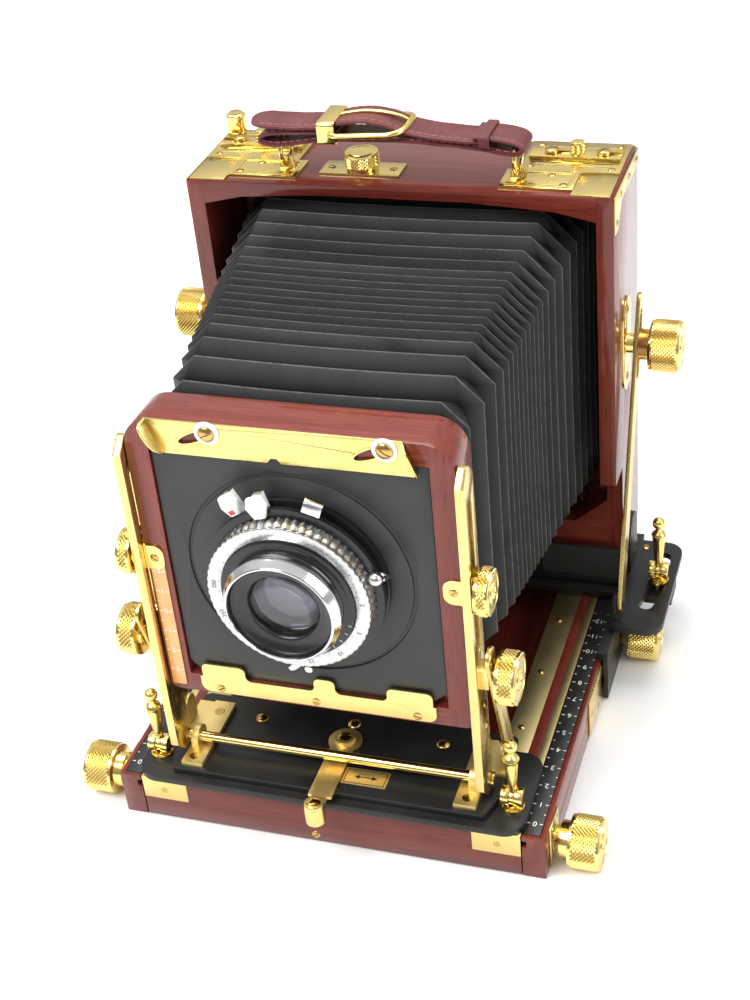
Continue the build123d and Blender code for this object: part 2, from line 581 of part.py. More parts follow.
REAR_ELEMENT = ((0, -70.0), (13.0, -70.0), (13.0, -66.0), (7.0, -64.6), (0, -64.2))
with BuildPart() as lens_glass:
    for profile in (FRONT_ELEMENT, REAR_ELEMENT):
        with BuildSketch(LENS_PLANE):
            with BuildLine():
                Polyline(*profile, close=True)
            make_face()
        revolve(axis=LENS_AXIS)
save(lens_glass, "lens_glass")


def ring_lever(angle, width, reach, lug, name):
    """Small lever whose root rides in the groove round the shutter; angle is from +X towards +Z."""
    root = GROOVE_FLOOR + 0.3
    with BuildPart() as lever:
        with BuildSketch(Plane.XZ.offset(-GROOVE_Y[1] + 0.3)):
            with Locations(Location((0, LENS_Z), angle)):
                with Locations(((root + reach) / 2, 0)):
                    Rectangle(reach - root, width)
            with Locations((0, LENS_Z)):
                Circle(root - 0.1, mode=Mode.SUBTRACT)
        extrude(amount=GROOVE_Y[1] - GROOVE_Y[0] - 0.6)
        tip = reach - lug
        x = tip * math.cos(math.radians(angle))
        z = LENS_Z + tip * math.sin(math.radians(angle))
        rod_y(x, (GROOVE_Y[0] - 5.0, GROOVE_Y[1] - 0.3), z, lug)
    save(lever, name)


ring_lever(22, 4.0, 39.4, 2.6, "aperture_lever")
ring_lever(119, 4.5, 42.6, 3.6, "cocking_lever")
ring_lever(104, 4.5, 40.3, 3.6, "release_lever")
ring_lever(73, 5.0, 39.6, 2.4, "sync_lever")

# ---------------------------------------------------------------- bellows
BELLOWS_FRONT = (FRAME_Y[1] + 0.3, 55.0, (64.5, 178.0), 9.0)
BELLOWS_BACK = (83.0, 71.0, (54.5, 198.5), 13.0)


BELLOWS_WALL = 5.0
with BuildPart() as bellows:
    for wall, mode in ((0, Mode.ADD), (BELLOWS_WALL, Mode.SUBTRACT)):
        for y, half, z, corner in (BELLOWS_FRONT, BELLOWS_BACK):
            with BuildSketch(Plane.XZ.offset(-y)) as section:
                with Locations((0, sum(z) / 2)):
                    Rectangle(2 * (half - wall), z[1] - z[0] - 2 * wall)
                chamfer(section.vertices(), corner)
        loft(mode=mode)
save(bellows, "bellows")

# ---------------------------------------------------------------- rear carriage
EAR_OUT = 106.0
with BuildPart() as rear_saddle:
    block((-FLANGE_OUT, FLANGE_OUT), (50, 92), (SADDLE_Z, SADDLE_Z + SADDLE_THICK))
    block((-EAR_OUT, EAR_OUT), (48, 62), (SADDLE_Z, SADDLE_Z + SADDLE_THICK))
    for side in (-1, 1):
        block((side * 82.6, side * FLANGE_OUT), (7, 50), (SADDLE_Z, SADDLE_Z + SADDLE_THICK))
        block((side * FLANGE_IN, side * FLANGE_OUT), (7, 90), (0.8, SADDLE_Z + SADDLE_THICK))
        rod_x((side * 80, side * 90), CLAMP_Y, CLAMP_Z, STUD_RADIUS + 0.05, Mode.SUBTRACT)
    # open middle, over the hollow of the bed
    block((-50, 50), (56, 84), (SADDLE_Z, SADDLE_Z + SADDLE_THICK), Mode.SUBTRACT)
save(rear_saddle, "rear_saddle")


def screw_knob(side, y, z, radius, x, screw_end, name):
    """Knurled knob with its collar and its own screw reaching inwards."""
    with BuildPart() as knob:
        rod_x((side * screw_end, side * x[0]), y, z, STUD_RADIUS)
        rod_x((side * x[0], side * x[1]), y, z, radius * 0.62)
        rod_x((side * x[1], side * x[2]), y, z, radius)
    save(knob, name)


for side, word in ((-1, "left"), (1, "right")):
    screw_knob(side, CLAMP_Y, CLAMP_Z, 9.4, (87.4, 90.4, 103.0), 82.6, f"rear_clamp_knob_{word}")

REAR_FORK_Z = REAR_PLATE_TOP + GAP
with BuildPart() as rear_forks:
    for side in (-1, 1):
        rod_z(side * LEVER_X, LEVER_Y, (SADDLE_Z + SADDLE_THICK, REAR_FORK_Z), 2.5)
        lever_fork(side * LEVER_X, LEVER_Y, REAR_FORK_Z)
save(rear_forks, "rear_forks")
cam_lever(-LEVER_X, LEVER_Y, REAR_FORK_Z, "rear_lever_left")
cam_lever(LEVER_X, LEVER_Y, REAR_FORK_Z, "rear_lever_right")

# ---------------------------------------------------------------- rear swing plate
SLOT_CENTRE = (0, REAR_SWING_Y)
SLOT_RADIUS = math.hypot(LEVER_X, LEVER_Y - REAR_SWING_Y)
SLOT_START = math.degrees(math.atan2(LEVER_Y - REAR_SWING_Y, LEVER_X))
with BuildPart() as rear_swing_plate:
    with BuildSketch(Plane.XY.offset(REAR_PLATE_Z)):
        with Locations((0, 68)):
            Rectangle(172, 32)
        for side in (-1, 1):
            with Locations((side * 95.5, 52)):
                RectangleRounded(21, 62, 7)
            with Locations((side * 88.6, 52)):
                Rectangle(7.2, 62)
        with Locations((0, 68)):
            Rectangle(104, 22, mode=Mode.SUBTRACT)
        for middle in (SLOT_START, 180 - SLOT_START):
            with BuildLine(mode=Mode.PRIVATE) as slot_line:
                CenterArc(SLOT_CENTRE, SLOT_RADIUS, middle - 10, 20)
            SlotArc(slot_line.edges()[0], 5.8, mode=Mode.SUBTRACT)
    extrude(amount=REAR_PLATE_THICK)
    # front stop plate under the box
    for side in (-1, 1):
        block((side * 50, side * BOX_HALF), (53.6, 55.4), (REAR_PLATE_TOP, 42.0))
        # hinge bracket and pin
        block((side * 84.7, side * 86.9), (HINGE_Y - 8, HINGE_Y + 8), (REAR_PLATE_TOP, HINGE_Z))
        rod_x((side * 84.7, side * 86.9), HINGE_Y, HINGE_Z, 8.0)
        rod_x((side * 79.0, side * 84.7), HINGE_Y, HINGE_Z, 2.2)
        # post and pin at the foot of the brace
        post_y = (REAR_BRACE_Y - 4, REAR_BRACE_Y + 4)
        block((side * 85.2, side * 87.3), post_y, (REAR_PLATE_TOP, REAR_BRACE_Z))
        rod_x((side * 85.2, side * 87.3), REAR_BRACE_Y, REAR_BRACE_Z, 4.0)
        rod_x((side * 87.3, side * 90.2), REAR_BRACE_Y, REAR_BRACE_Z, 1.8)
save(rear_swing_plate, "rear_swing_plate")

brace(
    (87.7, 89.3),
    (REAR_BRACE_Y, REAR_BRACE_Z),
    (HINGE_Y, BRACE_STUD_Z),
    (14, 14, 2.9),
    9.0,
    1.85,
    "rear_braces",
)

# ---------------------------------------------------------------- rear standard
INNER_HALF = BOX_HALF - WALL
POST_FOOT = 81.0  # underside of the box's front posts
with BuildPart() as rear_box:
    block((-BOX_HALF, BOX_HALF), BOX_Y, BOX_Z)
    fillet(rear_box.edges().filter_by(Axis.Y).sort_by(Axis.Z)[-2:], 2)
    # bellows chamber, arched over the top and chamfered at the bottom
    with BuildSketch(Plane.XZ.offset(-BOX_Y[0])):
        with BuildLine():
            Polyline(
                (INNER_HALF, 64), (INNER_HALF, 196), (62, 199.5), (30, 201.6), (-30, 201.6), (-62, 199.5),
                (-INNER_HALF, 196), (-INNER_HALF, 64), (-64, 52), (64, 52), close=True,
            )
        make_face()
    extrude(amount=-(84.0 - BOX_Y[0]), mode=Mode.SUBTRACT)
    block((-66, 66), (84, BACK_RECESS_Y + 1), (58, 192), Mode.SUBTRACT)
    block((-76.5, 76.5), (BACK_RECESS_Y, BOX_Y[1]), (44.5, 199.5), Mode.SUBTRACT)
    # the front stands back below the posts' feet, which also clears the swing plate when the box tilts
    block((-BOX_HALF, BOX_HALF), (BOX_Y[0], 57.8), (BOX_Z[0], POST_FOOT), Mode.SUBTRACT)
    # clearance round the hinge pin, and holes for the brace studs
    rod_x((-BOX_HALF, BOX_HALF), HINGE_Y, HINGE_Z, 2.26, Mode.SUBTRACT)
    for side in (-1, 1):
        rod_x((side * 78, side * BOX_HALF), HINGE_Y, BRACE_STUD_Z, 2.22, Mode.SUBTRACT)
save(rear_box, "rear_box")

PLATE_Z = (BOX_Z[1], BOX_Z[1] + 1.0)
LOCK_X, LOCK_Y = -16.0, 59.0
LATCH_Z = (PLATE_Z[1] + 0.1, PLATE_Z[1] + 1.5)
with BuildPart() as top_plates:
    for side in (-1, 1):
        block((side * 44, side * 82.5), (64, 91.5), PLATE_Z)
        block((side * 40, side * 68), (48, 64), PLATE_Z)
        # screws that guide the sliding latch
        for x in (54, 74):
            rod_z(side * x, 78, (PLATE_Z[1], LATCH_Z[1] + 0.2), 1.4)
            rod_z(side * x, 78, (LATCH_Z[1] + 0.2, LATCH_Z[1] + 1.2), 2.8)
        # lug for the strap ring
        lug_z = RING_Z - RING_BEND
        block((side * RING_X - 3, side * RING_X + 3), (HANDLE_Y - 0.6, HANDLE_Y + 0.6), (PLATE_Z[1], lug_z))
        rod_y(side * RING_X, (HANDLE_Y - 0.6, HANDLE_Y + 0.6), lug_z, 3.0)
        rod_y(side * RING_X, (HANDLE_Y - 1, HANDLE_Y + 1), lug_z, WIRE + 0.1, Mode.SUBTRACT)
    rod_z(-79, 88, (PLATE_Z[1], PLATE_Z[1] + 9), 2.6)
    # base and stud of the storage lock
    block((LOCK_X - 16, LOCK_X + 16), (LOCK_Y - 6, LOCK_Y + 6), PLATE_Z)
    rod_z(LOCK_X, LOCK_Y, (PLATE_Z[1], PLATE_Z[1] + 3.0), 2.2)
save(top_plates, "top_plates")

for side, word in ((-1, "left"), (1, "right")):
    with BuildPart() as latch:
        block((side * 46, side * 81), (73.5, 82.5), LATCH_Z)
        for x in (54, 74):
            with Locations((side * (x + 2.5), 78, sum(LATCH_Z) / 2)):
                Box(8.6, 3.2, 3, mode=Mode.SUBTRACT)
        rod_z(side * 64, 78, (LATCH_Z[1], LATCH_Z[1] + 4.5), 2.6)
    save(latch, f"back_latch_{word}")

with BuildPart() as lock_knob:
    rod_z(LOCK_X, LOCK_Y, (PLATE_Z[1] + 0.15, PLATE_Z[1] + 7.0), 6.4)
    rod_z(LOCK_X, LOCK_Y, (PLATE_Z[1], PLATE_Z[1] + 3.1), 2.25, Mode.SUBTRACT)
save(lock_knob, "lock_knob")

with BuildPart() as box_side_plates:
    for side in (-1, 1):
        with BuildSketch(Plane.YZ.offset(BOX_HALF if side > 0 else -BOX_HALF - 0.6)):
            with Locations(Location((HINGE_Y, BRACE_STUD_Z), 90)):
                SlotOverall(40, 16)
            with Locations((HINGE_Y, BRACE_STUD_Z)):
                Circle(2.22, mode=Mode.SUBTRACT)
        extrude(amount=0.6)
        rod_x((side * 79, side * 100), HINGE_Y, BRACE_STUD_Z, 2.2)
        rod_x((side * 84.6, side * 87.4), HINGE_Y, BRACE_STUD_Z, 4.0)
save(box_side_plates, "box_side_plates")
for side, word in ((-1, "left"), (1, "right")):
    clamp_knob(side, (89.7, 94.0, 106.0), HINGE_Y, BRACE_STUD_Z, 10.0, 2.25, 100.4, f"brace_knob_{word}")

# ---------------------------------------------------------------- carrying strap
with BuildPart() as strap_rings:
    for side in (-1, 1):
        with Locations(Location((side * RING_X, HANDLE_Y, RING_Z), (0, 90, 0))):
            Torus(RING_BEND, WIRE)
save(strap_rings, "strap_rings")

STRAP_Y = (HANDLE_Y - 8, HANDLE_Y + 8)
STRAP_LOW = RING_Z + RING_BEND + WIRE + 0.2
STRAP_TOP = STRAP_LOW + 2.8
with BuildPart() as strap:
    block((-62, -38), STRAP_Y, (STRAP_LOW, STRAP_TOP))
    block((38, 56), STRAP_Y, (STRAP_LOW, STRAP_TOP))
    block((-38.5, 38.5), STRAP_Y, (STRAP_LOW - 3, STRAP_TOP))
    block((-38, 4), STRAP_Y, (STRAP_TOP, STRAP_TOP + 4.5))
save(strap, "strap")

# ---------------------------------------------------------------- focusing back
with BuildPart() as spring_back:
    block((-76, 76), (BACK_RECESS_Y + 0.4, 98.5), (45, 199))
    block((-64, 64), (BACK_RECESS_Y, 99), (60, 188), Mode.SUBTRACT)
    block((-66, 66), (90, 93), (58, 190), Mode.SUBTRACT)
    fillet(spring_back.edges().filter_by(Axis.Y).group_by(SortBy.LENGTH)[-1], 3)
save(spring_back, "spring_back")
with BuildPart() as ground_glass:
    block((-65.5, 65.5), (90.4, 92.6), (58.5, 189.5))
save(ground_glass, "ground_glass")
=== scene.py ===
import json
import math

import bmesh
import bpy
from mathutils import Matrix, Vector

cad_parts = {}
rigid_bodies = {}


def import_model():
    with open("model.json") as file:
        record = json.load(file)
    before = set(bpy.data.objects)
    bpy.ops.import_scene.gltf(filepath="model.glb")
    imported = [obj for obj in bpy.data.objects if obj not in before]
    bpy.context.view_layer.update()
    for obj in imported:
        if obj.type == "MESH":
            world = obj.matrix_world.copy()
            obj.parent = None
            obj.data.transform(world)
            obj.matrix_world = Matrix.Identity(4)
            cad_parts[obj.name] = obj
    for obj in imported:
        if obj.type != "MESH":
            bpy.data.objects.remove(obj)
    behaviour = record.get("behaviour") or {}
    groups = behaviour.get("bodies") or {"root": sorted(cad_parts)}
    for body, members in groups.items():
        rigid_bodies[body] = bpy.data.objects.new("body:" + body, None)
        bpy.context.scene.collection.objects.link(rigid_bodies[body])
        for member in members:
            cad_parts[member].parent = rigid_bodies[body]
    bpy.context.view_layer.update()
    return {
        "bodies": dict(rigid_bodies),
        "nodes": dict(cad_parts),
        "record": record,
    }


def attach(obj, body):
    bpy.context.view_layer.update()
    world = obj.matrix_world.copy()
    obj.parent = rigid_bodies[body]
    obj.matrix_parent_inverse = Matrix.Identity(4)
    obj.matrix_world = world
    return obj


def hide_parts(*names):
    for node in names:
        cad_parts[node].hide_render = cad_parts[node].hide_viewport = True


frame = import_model()
NODES, BODIES = frame["nodes"], frame["bodies"]
MM = 0.001
SCENE = bpy.context.scene


# ---------------- node helpers
class Nodes:
    """Short ways to add and join nodes in a tree."""

    def __init__(self, tree):
        self.tree = tree

    def put(self, value, socket):
        if isinstance(value, bpy.types.NodeSocket):
            self.tree.links.new(value, socket)
        else:
            socket.default_value = value

    def add(self, kind, inputs=(), **props):
        node = self.tree.nodes.new(kind)
        for key, value in props.items():
            setattr(node, key, value)
        for key, value in dict(inputs).items():
            self.put(value, node.inputs[key])
        return node

    def math(self, operation, a, b=0.0, c=0.5, clamp=False):
        inputs = {0: a, 1: b, 2: c}
        return self.add("ShaderNodeMath", inputs, operation=operation, use_clamp=clamp).outputs[0]

    def ramp(self, value, stops):
        """Colour ramp; a stop's colour is a triple, or one grey level."""
        node = self.add("ShaderNodeValToRGB", {0: value})
        elements = node.color_ramp.elements
        while len(elements) < len(stops):
            elements.new(0.5)
        for element, (position, colour) in zip(elements, stops):
            element.position = position
            element.color = (*colour, 1) if isinstance(colour, tuple) else (colour, colour, colour, 1)
        return node.outputs[0]

    def mix(self, amount, a, b, blend="MIX"):
        node = self.add("ShaderNodeMix", {"Factor": amount}, data_type="RGBA", blend_type=blend)
        for socket, value in ((node.inputs[6], a), (node.inputs[7], b)):
            self.put((*value, 1) if isinstance(value, tuple) else value, socket)
        return node.outputs[2]


class Paint(Nodes):
    """A node material, built from a Principled shader outwards."""

    def __init__(self, name, **constants):
        self.made = bpy.data.materials.new(name)
        self.made.use_nodes = True
        super().__init__(self.made.node_tree)
        shader = self.tree.nodes["Principled BSDF"]
        self.inputs = {socket.name.lower(): socket for socket in shader.inputs}
        for key, value in constants.items():
            socket = self.inputs[key.replace("_", " ")]
            socket.default_value = (*value, 1) if socket.type == "RGBA" else value
        self.object = self.add("ShaderNodeTexCoord").outputs["Object"]

    def link(self, output, socket):
        self.put(output, self.inputs[socket])

    def along(self, axis, stretch):
        """Object position squeezed along one axis, which draws a noise out along it."""
        scale = [1.0, 1.0, 1.0]
        if axis:
            scale[AXES[axis]] = stretch
        return self.add("ShaderNodeMapping", {"Vector": self.object, "Scale": scale}).outputs[0]

    def noise(self, scale, vector=None, detail=3.0, rough=0.6, distortion=0.0):
        inputs = {"Vector": vector or self.object, "Scale": scale, "Detail": detail, "Roughness": rough,
                  "Distortion": distortion}
        return self.add("ShaderNodeTexNoise", inputs).outputs["Fac"]

    def spread(self, value, low, high, from_low=0.3, from_high=0.7):
        inputs = {"Value": value, "From Min": from_low, "From Max": from_high, "To Min": low, "To Max": high}
        return self.add("ShaderNodeMapRange", inputs).outputs[0]

    def bump(self, height, strength, distance):
        inputs = {"Height": height, "Strength": strength, "Distance": distance}
        normal = self.add("ShaderNodeBump", inputs).outputs[0]
        self.link(normal, "normal")
        if self.inputs["coat weight"].default_value:
            self.link(normal, "coat normal")


AXES = {"x": 0, "y": 1, "z": 2}


def wood(name, along, swap=None, tone=1.0):
    """Lacquered red cherry. swap = (axis, lowest, highest, along) turns the grain outside that band."""
    paint = Paint(name, roughness=0.32, specular_ior_level=0.2, coat_weight=0.6, coat_roughness=0.06,
                  coat_ior=1.5)

    def grain(direction):
        vector = paint.along(direction, 0.045)
        broad = paint.noise(170, vector, 2.5, 0.5, 0.6)
        return broad, paint.noise(1300, vector), paint.noise(2600, vector, 1.0, 0.5)

    bands = grain(along)
    if swap:
        axis, low, high, other = swap
        place = paint.add("ShaderNodeSeparateXYZ", {0: paint.object}).outputs[AXES[axis]]
        below = paint.math("LESS_THAN", place, low * MM)
        above = paint.math("GREATER_THAN", place, high * MM)
        outside = paint.math("ADD", below, above, clamp=True)
        bands = [paint.add("ShaderNodeMix", {"Factor": outside, 2: a, 3: b}, data_type="FLOAT").outputs[0]
                 for a, b in zip(bands, grain(other))]
    broad, fine, pores = bands
    value = paint.math("ADD", paint.math("MULTIPLY", broad, 0.62), paint.math("MULTIPLY", fine, 0.38))
    colours = ((0.095, 0.012, 0.008), (0.140, 0.020, 0.012), (0.175, 0.028, 0.017), (0.220, 0.042, 0.026))
    stops = [(p, tuple(c * tone for c in colour)) for p, colour in zip((0.30, 0.44, 0.56, 0.72), colours)]
    dark = paint.ramp(pores, [(0.33, (0.45, 0.38, 0.36)), (0.41, 1.0)])
    paint.link(paint.mix(0.6, paint.ramp(value, stops), dark, "MULTIPLY"), "base color")
    paint.link(paint.spread(fine, 0.26, 0.42), "roughness")
    paint.bump(paint.math("ADD", fine, paint.math("MULTIPLY", broad, 0.6)), 0.22, 0.00006)
    return paint.made


def metal(name, colour, dark, roughness, brushed=None, worn=0.35):
    """Plated metal: colour drifts a little to dark, with fine lines if brushed and small scratches."""
    paint = Paint(name, metallic=1.0, roughness=roughness)
    lines = paint.noise(5200 if brushed else 2400, paint.along(brushed, 0.03), 2.0)
    clouds = paint.noise(95, None, 4.0)
    paint.link(paint.mix(paint.spread(clouds, 0.0, worn, 0.35, 0.75), colour, dark), "base color")
    rough = paint.spread(clouds, roughness - 0.04, roughness + 0.06)
    paint.link(paint.math("ADD", paint.spread(lines, -0.05, 0.05), rough), "roughness")
    paint.bump(lines, 0.18 if brushed else 0.07, 0.00003)
    return paint.made


def enamel(name, colour, roughness, grain=0.12, gloss=0.5):
    """Painted metal with a fine orange-peel grain and slight dust."""
    paint = Paint(name, roughness=roughness, specular_ior_level=gloss)
    peel = paint.noise(1500, None, 2.0, 0.5)
    clouds = paint.noise(60, None, 4.0)
    lighter = tuple(min(1.0, c * 1.5 + 0.004) for c in colour)
    paint.link(paint.mix(paint.spread(clouds, 0.0, 1.0), colour, lighter), "base color")
    paint.link(paint.spread(clouds, roughness - 0.05, roughness + 0.08), "roughness")
    paint.bump(peel, grain, 0.00005)
    return paint.made


def leather(name, colour, light, roughness, grain_scale, grain_depth, gloss=0.3, painted_fold_light=False):
    """Leather or leatherette with a pebbled grain; on the bellows, painted shade darkens the fold valleys and a
    painted highlight lightens the ridges.
    """
    paint = Paint(name, roughness=roughness, specular_ior_level=gloss)
    pebbles = {"Vector": paint.object, "Scale": grain_scale}
    cells = paint.add("ShaderNodeTexVoronoi", pebbles, feature="DISTANCE_TO_EDGE")
    creases = paint.ramp(cells.outputs["Distance"], [(0.0, 0.0), (0.16, 1.0)])
    clouds = paint.noise(120, None, 5.0)
    fine = paint.noise(grain_scale * 1.7)
    tint = paint.mix(paint.spread(clouds, 0.0, 1.0), colour, light)
    deep = tuple(c * 0.55 for c in colour)
    shade = paint.mix(paint.math("MULTIPLY", paint.math("SUBTRACT", 1.0, creases), 0.6), tint, deep)
    if painted_fold_light:
        fold = paint.add("ShaderNodeAttribute", attribute_name="fold").outputs["Fac"]
        # painted shade: the colour sinks to near black down in the fold valleys
        depth = paint.ramp(fold, [(0.0, 1.0), (0.55, 0.35), (0.9, 0.0)])
        shade = paint.mix(depth, shade, (0.0015, 0.0016, 0.0015))
        # painted highlight: a light grey line along each fold ridge, broken into patches by noise
        painted_ridge_highlight = paint.ramp(fold, [(0.925, 0.0), (0.965, 1.0)])
        patchy = paint.spread(paint.noise(260), 0.35, 1.0, 0.35, 0.6)
        shade = paint.mix(paint.math("MULTIPLY", painted_ridge_highlight, patchy), shade, (0.105, 0.105, 0.100))
        paint.link(paint.spread(fold, 0.05, gloss, 0.0, 1.0), "specular ior level")
    paint.link(shade, "base color")
    paint.link(paint.spread(fine, roughness - 0.08, roughness + 0.1), "roughness")
    paint.bump(paint.math("ADD", creases, paint.math("MULTIPLY", fine, 0.7)), grain_depth, 0.00012)
    return paint.made


def clear_glass(name, tint, roughness=0.0, frosted=0.0):
    """Clear or ground glass with a coating tint."""
    paint = Paint(name, base_color=tint, roughness=roughness, ior=1.5, transmission_weight=1.0)
    smear = paint.noise(3500 if frosted else 300)
    paint.link(paint.spread(smear, roughness, roughness + 0.03 + frosted), "roughness")
    return paint.made


GOLD = metal("gold_plating", (0.95, 0.74, 0.26), (0.76, 0.52, 0.14), 0.16)
GOLD_BRUSHED = metal("gold_brushed", (0.80, 0.63, 0.25), (0.66, 0.48, 0.15), 0.24, brushed="z")
GOLD_LEVEL = metal("gold_brushed_level", (0.80, 0.63, 0.24), (0.66, 0.48, 0.14), 0.23, brushed="x")
GOLD_SATIN = metal("gold_satin", (0.95, 0.74, 0.30), (0.80, 0.58, 0.20), 0.46, brushed="y")
RAIL = metal("rail_brass", (0.66, 0.54, 0.26), (0.50, 0.39, 0.17), 0.40, brushed="y")
SCREW = metal("screw_bronze", (0.62, 0.43, 0.15), (0.40, 0.25, 0.07), 0.2)
STEEL = metal("bright_steel", (0.72, 0.72, 0.70), (0.5, 0.5, 0.48), 0.26)
CHROME = metal("chrome_plate", (0.70, 0.70, 0.71), (0.52, 0.52, 0.54), 0.10, worn=0.2)
SATIN_CHROME = metal("satin_chrome", (0.60, 0.60, 0.595), (0.46, 0.46, 0.455), 0.27, worn=0.3)
COPPER = metal("scale_copper", (0.80, 0.42, 0.20), (0.62, 0.28, 0.11), 0.32, brushed="z")
BLACK = enamel("black_enamel", (0.011, 0.011, 0.011), 0.36, gloss=0.35)
BOARD_BLACK = enamel("board_black", (0.020, 0.021, 0.020), 0.46, grain=0.25)
SHUTTER_BLACK = enamel("shutter_black", (0.008, 0.008, 0.009), 0.20, grain=0.06)
MATT_BLACK = enamel("matt_black", (0.008, 0.008, 0.008), 0.7)
SCALE_BLACK = enamel("scale_black", (0.010, 0.010, 0.010), 0.38, grain=0.05)
WHITE_PAINT = enamel("white_figures", (0.78, 0.77, 0.72), 0.5, grain=0.03)
WHITE_LEVER = enamel("white_lever", (0.66, 0.66, 0.64), 0.35, grain=0.04)
RED_PAINT = enamel("red_mark", (0.55, 0.03, 0.02), 0.4, grain=0.03)
STITCH = enamel("strap_thread", (0.26, 0.10, 0.09), 0.8)
# the bellows material paints shade into the fold valleys and a highlight along the ridges
BELLOWS = leather("bellows_leatherette", (0.015, 0.016, 0.015), (0.024, 0.025, 0.024), 0.46, 2600, 0.2, 0.28,
                  painted_fold_light=True)
STRAP = leather("strap_leather", (0.115, 0.022, 0.024), (0.185, 0.048, 0.048), 0.40, 1500, 0.45, 0.4)
LENS = clear_glass("coated_glass", (0.93, 0.95, 0.99))
COATED = clear_glass("coated_inner_glass", (0.72, 0.62, 0.92))
FROST = clear_glass("ground_screen", (0.93, 0.96, 0.95), roughness=0.35, frosted=0.2)

BY_SLOT = {
    "gold_plate": GOLD, "rail_brass": RAIL, "black_metal": BLACK, "scale_black": SCALE_BLACK,
    "bellows_black": BELLOWS, "strap_leather": STRAP, "steel": STEEL, "chrome": CHROME, "glass": LENS,
    "ground_glass": FROST,
}
# the bands outside which the grain turns are in millimetres
BY_NODE = {
    "bed_frame": wood("wood_bed", "y", ("y", -200, 87, "x")),
    "track_frame": wood("wood_track", "y", ("y", -86.5, 77, "x"), 0.95),
    "lens_frame": wood("wood_lens_frame", "x", ("x", -49.4, 49.4, "z"), 1.08),
    "rear_box": wood("wood_box", "x", ("x", -77.5, 77.5, "z"), 0.95),
    "spring_back": wood("wood_back", "x", ("x", -64, 64, "z")),
    "lens_uprights": GOLD_BRUSHED, "tilt_braces": GOLD_BRUSHED, "rear_braces": GOLD_BRUSHED,
    "board_lock": GOLD_LEVEL, "board_retainer": GOLD_LEVEL, "top_plates": GOLD_LEVEL,
    "track_corner_plates": GOLD_LEVEL, "bed_side_plates": GOLD_LEVEL,
    "swing_lock_lever": GOLD_SATIN, "front_brackets": GOLD_SATIN, "lens_board": BOARD_BLACK,
    "shutter_body": SHUTTER_BLACK, "lens_rear_cell": SHUTTER_BLACK, "speed_ring": SATIN_CHROME,
    "cocking_lever": WHITE_LEVER, "release_lever": WHITE_LEVER,
}
# how far each CAD node's edges are rounded over, in millimetres
ROUNDED = {
    "bed_frame": 0.5, "track_frame": 0.3, "lens_frame": 1.0, "rear_box": 0.8, "spring_back": 0.8,
    "carriage_plate": 0.4, "front_swing_plate": 0.35, "rear_swing_plate": 0.4, "rear_saddle": 0.3,
    "lens_board": 0.3, "swing_lock_lever": 0.3, "lens_uprights": 0.25, "speed_ring": 0.12,
    "focus_racks": 0.0, "pinion_shaft": 0.0, "lens_glass": 0.0,
}
ROUNDED_ELSE = 0.15
CRISP_ANGLE = 32


def round_edges(obj, width, angle=CRISP_ANGLE, segments=2):
    if not width:
        return
    bevel = obj.modifiers.new("rounded", "BEVEL")
    bevel.width = width * MM
    bevel.segments = segments
    bevel.limit_method = "ANGLE"
    bevel.angle_limit = math.radians(angle)
    bevel.use_clamp_overlap = True
    bevel.harden_normals = False


def smooth(obj, angle):
    for polygon in obj.data.polygons:
        polygon.use_smooth = True
    sharp = obj.modifiers.new("crisp", "NODES")
    sharp.node_group = SMOOTHING
    sharp[SMOOTH_ANGLE] = math.radians(angle)


def smoothing_group():
    """Sharpens edges above an angle, so flat faces stay flat and turned ones shade smoothly."""
    group = bpy.data.node_groups.new("crisp_edges", "GeometryNodeTree")
    group.interface.new_socket("Geometry", in_out="INPUT", socket_type="NodeSocketGeometry")
    group.interface.new_socket("Geometry", in_out="OUTPUT", socket_type="NodeSocketGeometry")
    angle = group.interface.new_socket("Angle", in_out="INPUT", socket_type="NodeSocketFloat")
    nodes = Nodes(group)
    geometry, limit = nodes.add("NodeGroupInput").outputs[:2]
    whole = nodes.add("GeometryNodeSetShadeSmooth", {0: geometry}, domain="FACE")
    edge = nodes.add("GeometryNodeInputMeshEdgeAngle")
    over = nodes.add("FunctionNodeCompare", {0: edge.outputs[0], 1: limit}, operation="GREATER_THAN")
    under = nodes.add("FunctionNodeBooleanMath", {0: over.outputs[0]}, operation="NOT")
    crisp = nodes.add("GeometryNodeSetShadeSmooth", {0: whole.outputs[0], 2: under.outputs[0]}, domain="EDGE")
    nodes.add("NodeGroupOutput", {0: crisp.outputs[0]})
    return group, angle.identifier


SMOOTHING, SMOOTH_ANGLE = smoothing_group()
slot_of = {part["node"]: part["material_slot"] for part in frame["record"]["subparts"]}
for node_name, node in NODES.items():
    node.data.materials.clear()
    node.data.materials.append(BY_NODE.get(node_name) or BY_SLOT[slot_of[node_name]])
    node.modifiers.new("weld", "WELD").merge_threshold = 0.000002
    round_edges(node, ROUNDED.get(node_name, ROUNDED_ELSE))
    smooth(node, CRISP_ANGLE)


# ---------------- mesh helpers, in millimetres
TURN = 2 * math.pi
KNURL_DEPTH = 0.42
SIDES = ((-1, "left"), (1, "right"))
UP, AHEAD = (0, 0, 1), (0, -1, 0)


def polar(radius, angle, *height):
    """Point at a radius and an angle in radians, with its height if one is given."""
    return (radius * math.cos(angle), radius * math.sin(angle), *height)


def skin(rows, count, around=True, closed=False):
    """Faces between rows of count points, around each row and, if closed, from the last row to the first."""
    faces = []
    for j in range(rows if closed else rows - 1):
        a, b = j * count, (j + 1) % rows * count
        spans = ((i, (i + 1) % count) for i in range(count if around else count - 1))
        faces += [(a + i, a + k, b + k, b + i) for i, k in spans]
    return faces


def ends(rows, count):
    """Faces closing the first and last rows."""
    return [tuple(reversed(range(count))), tuple(range((rows - 1) * count, rows * count))]


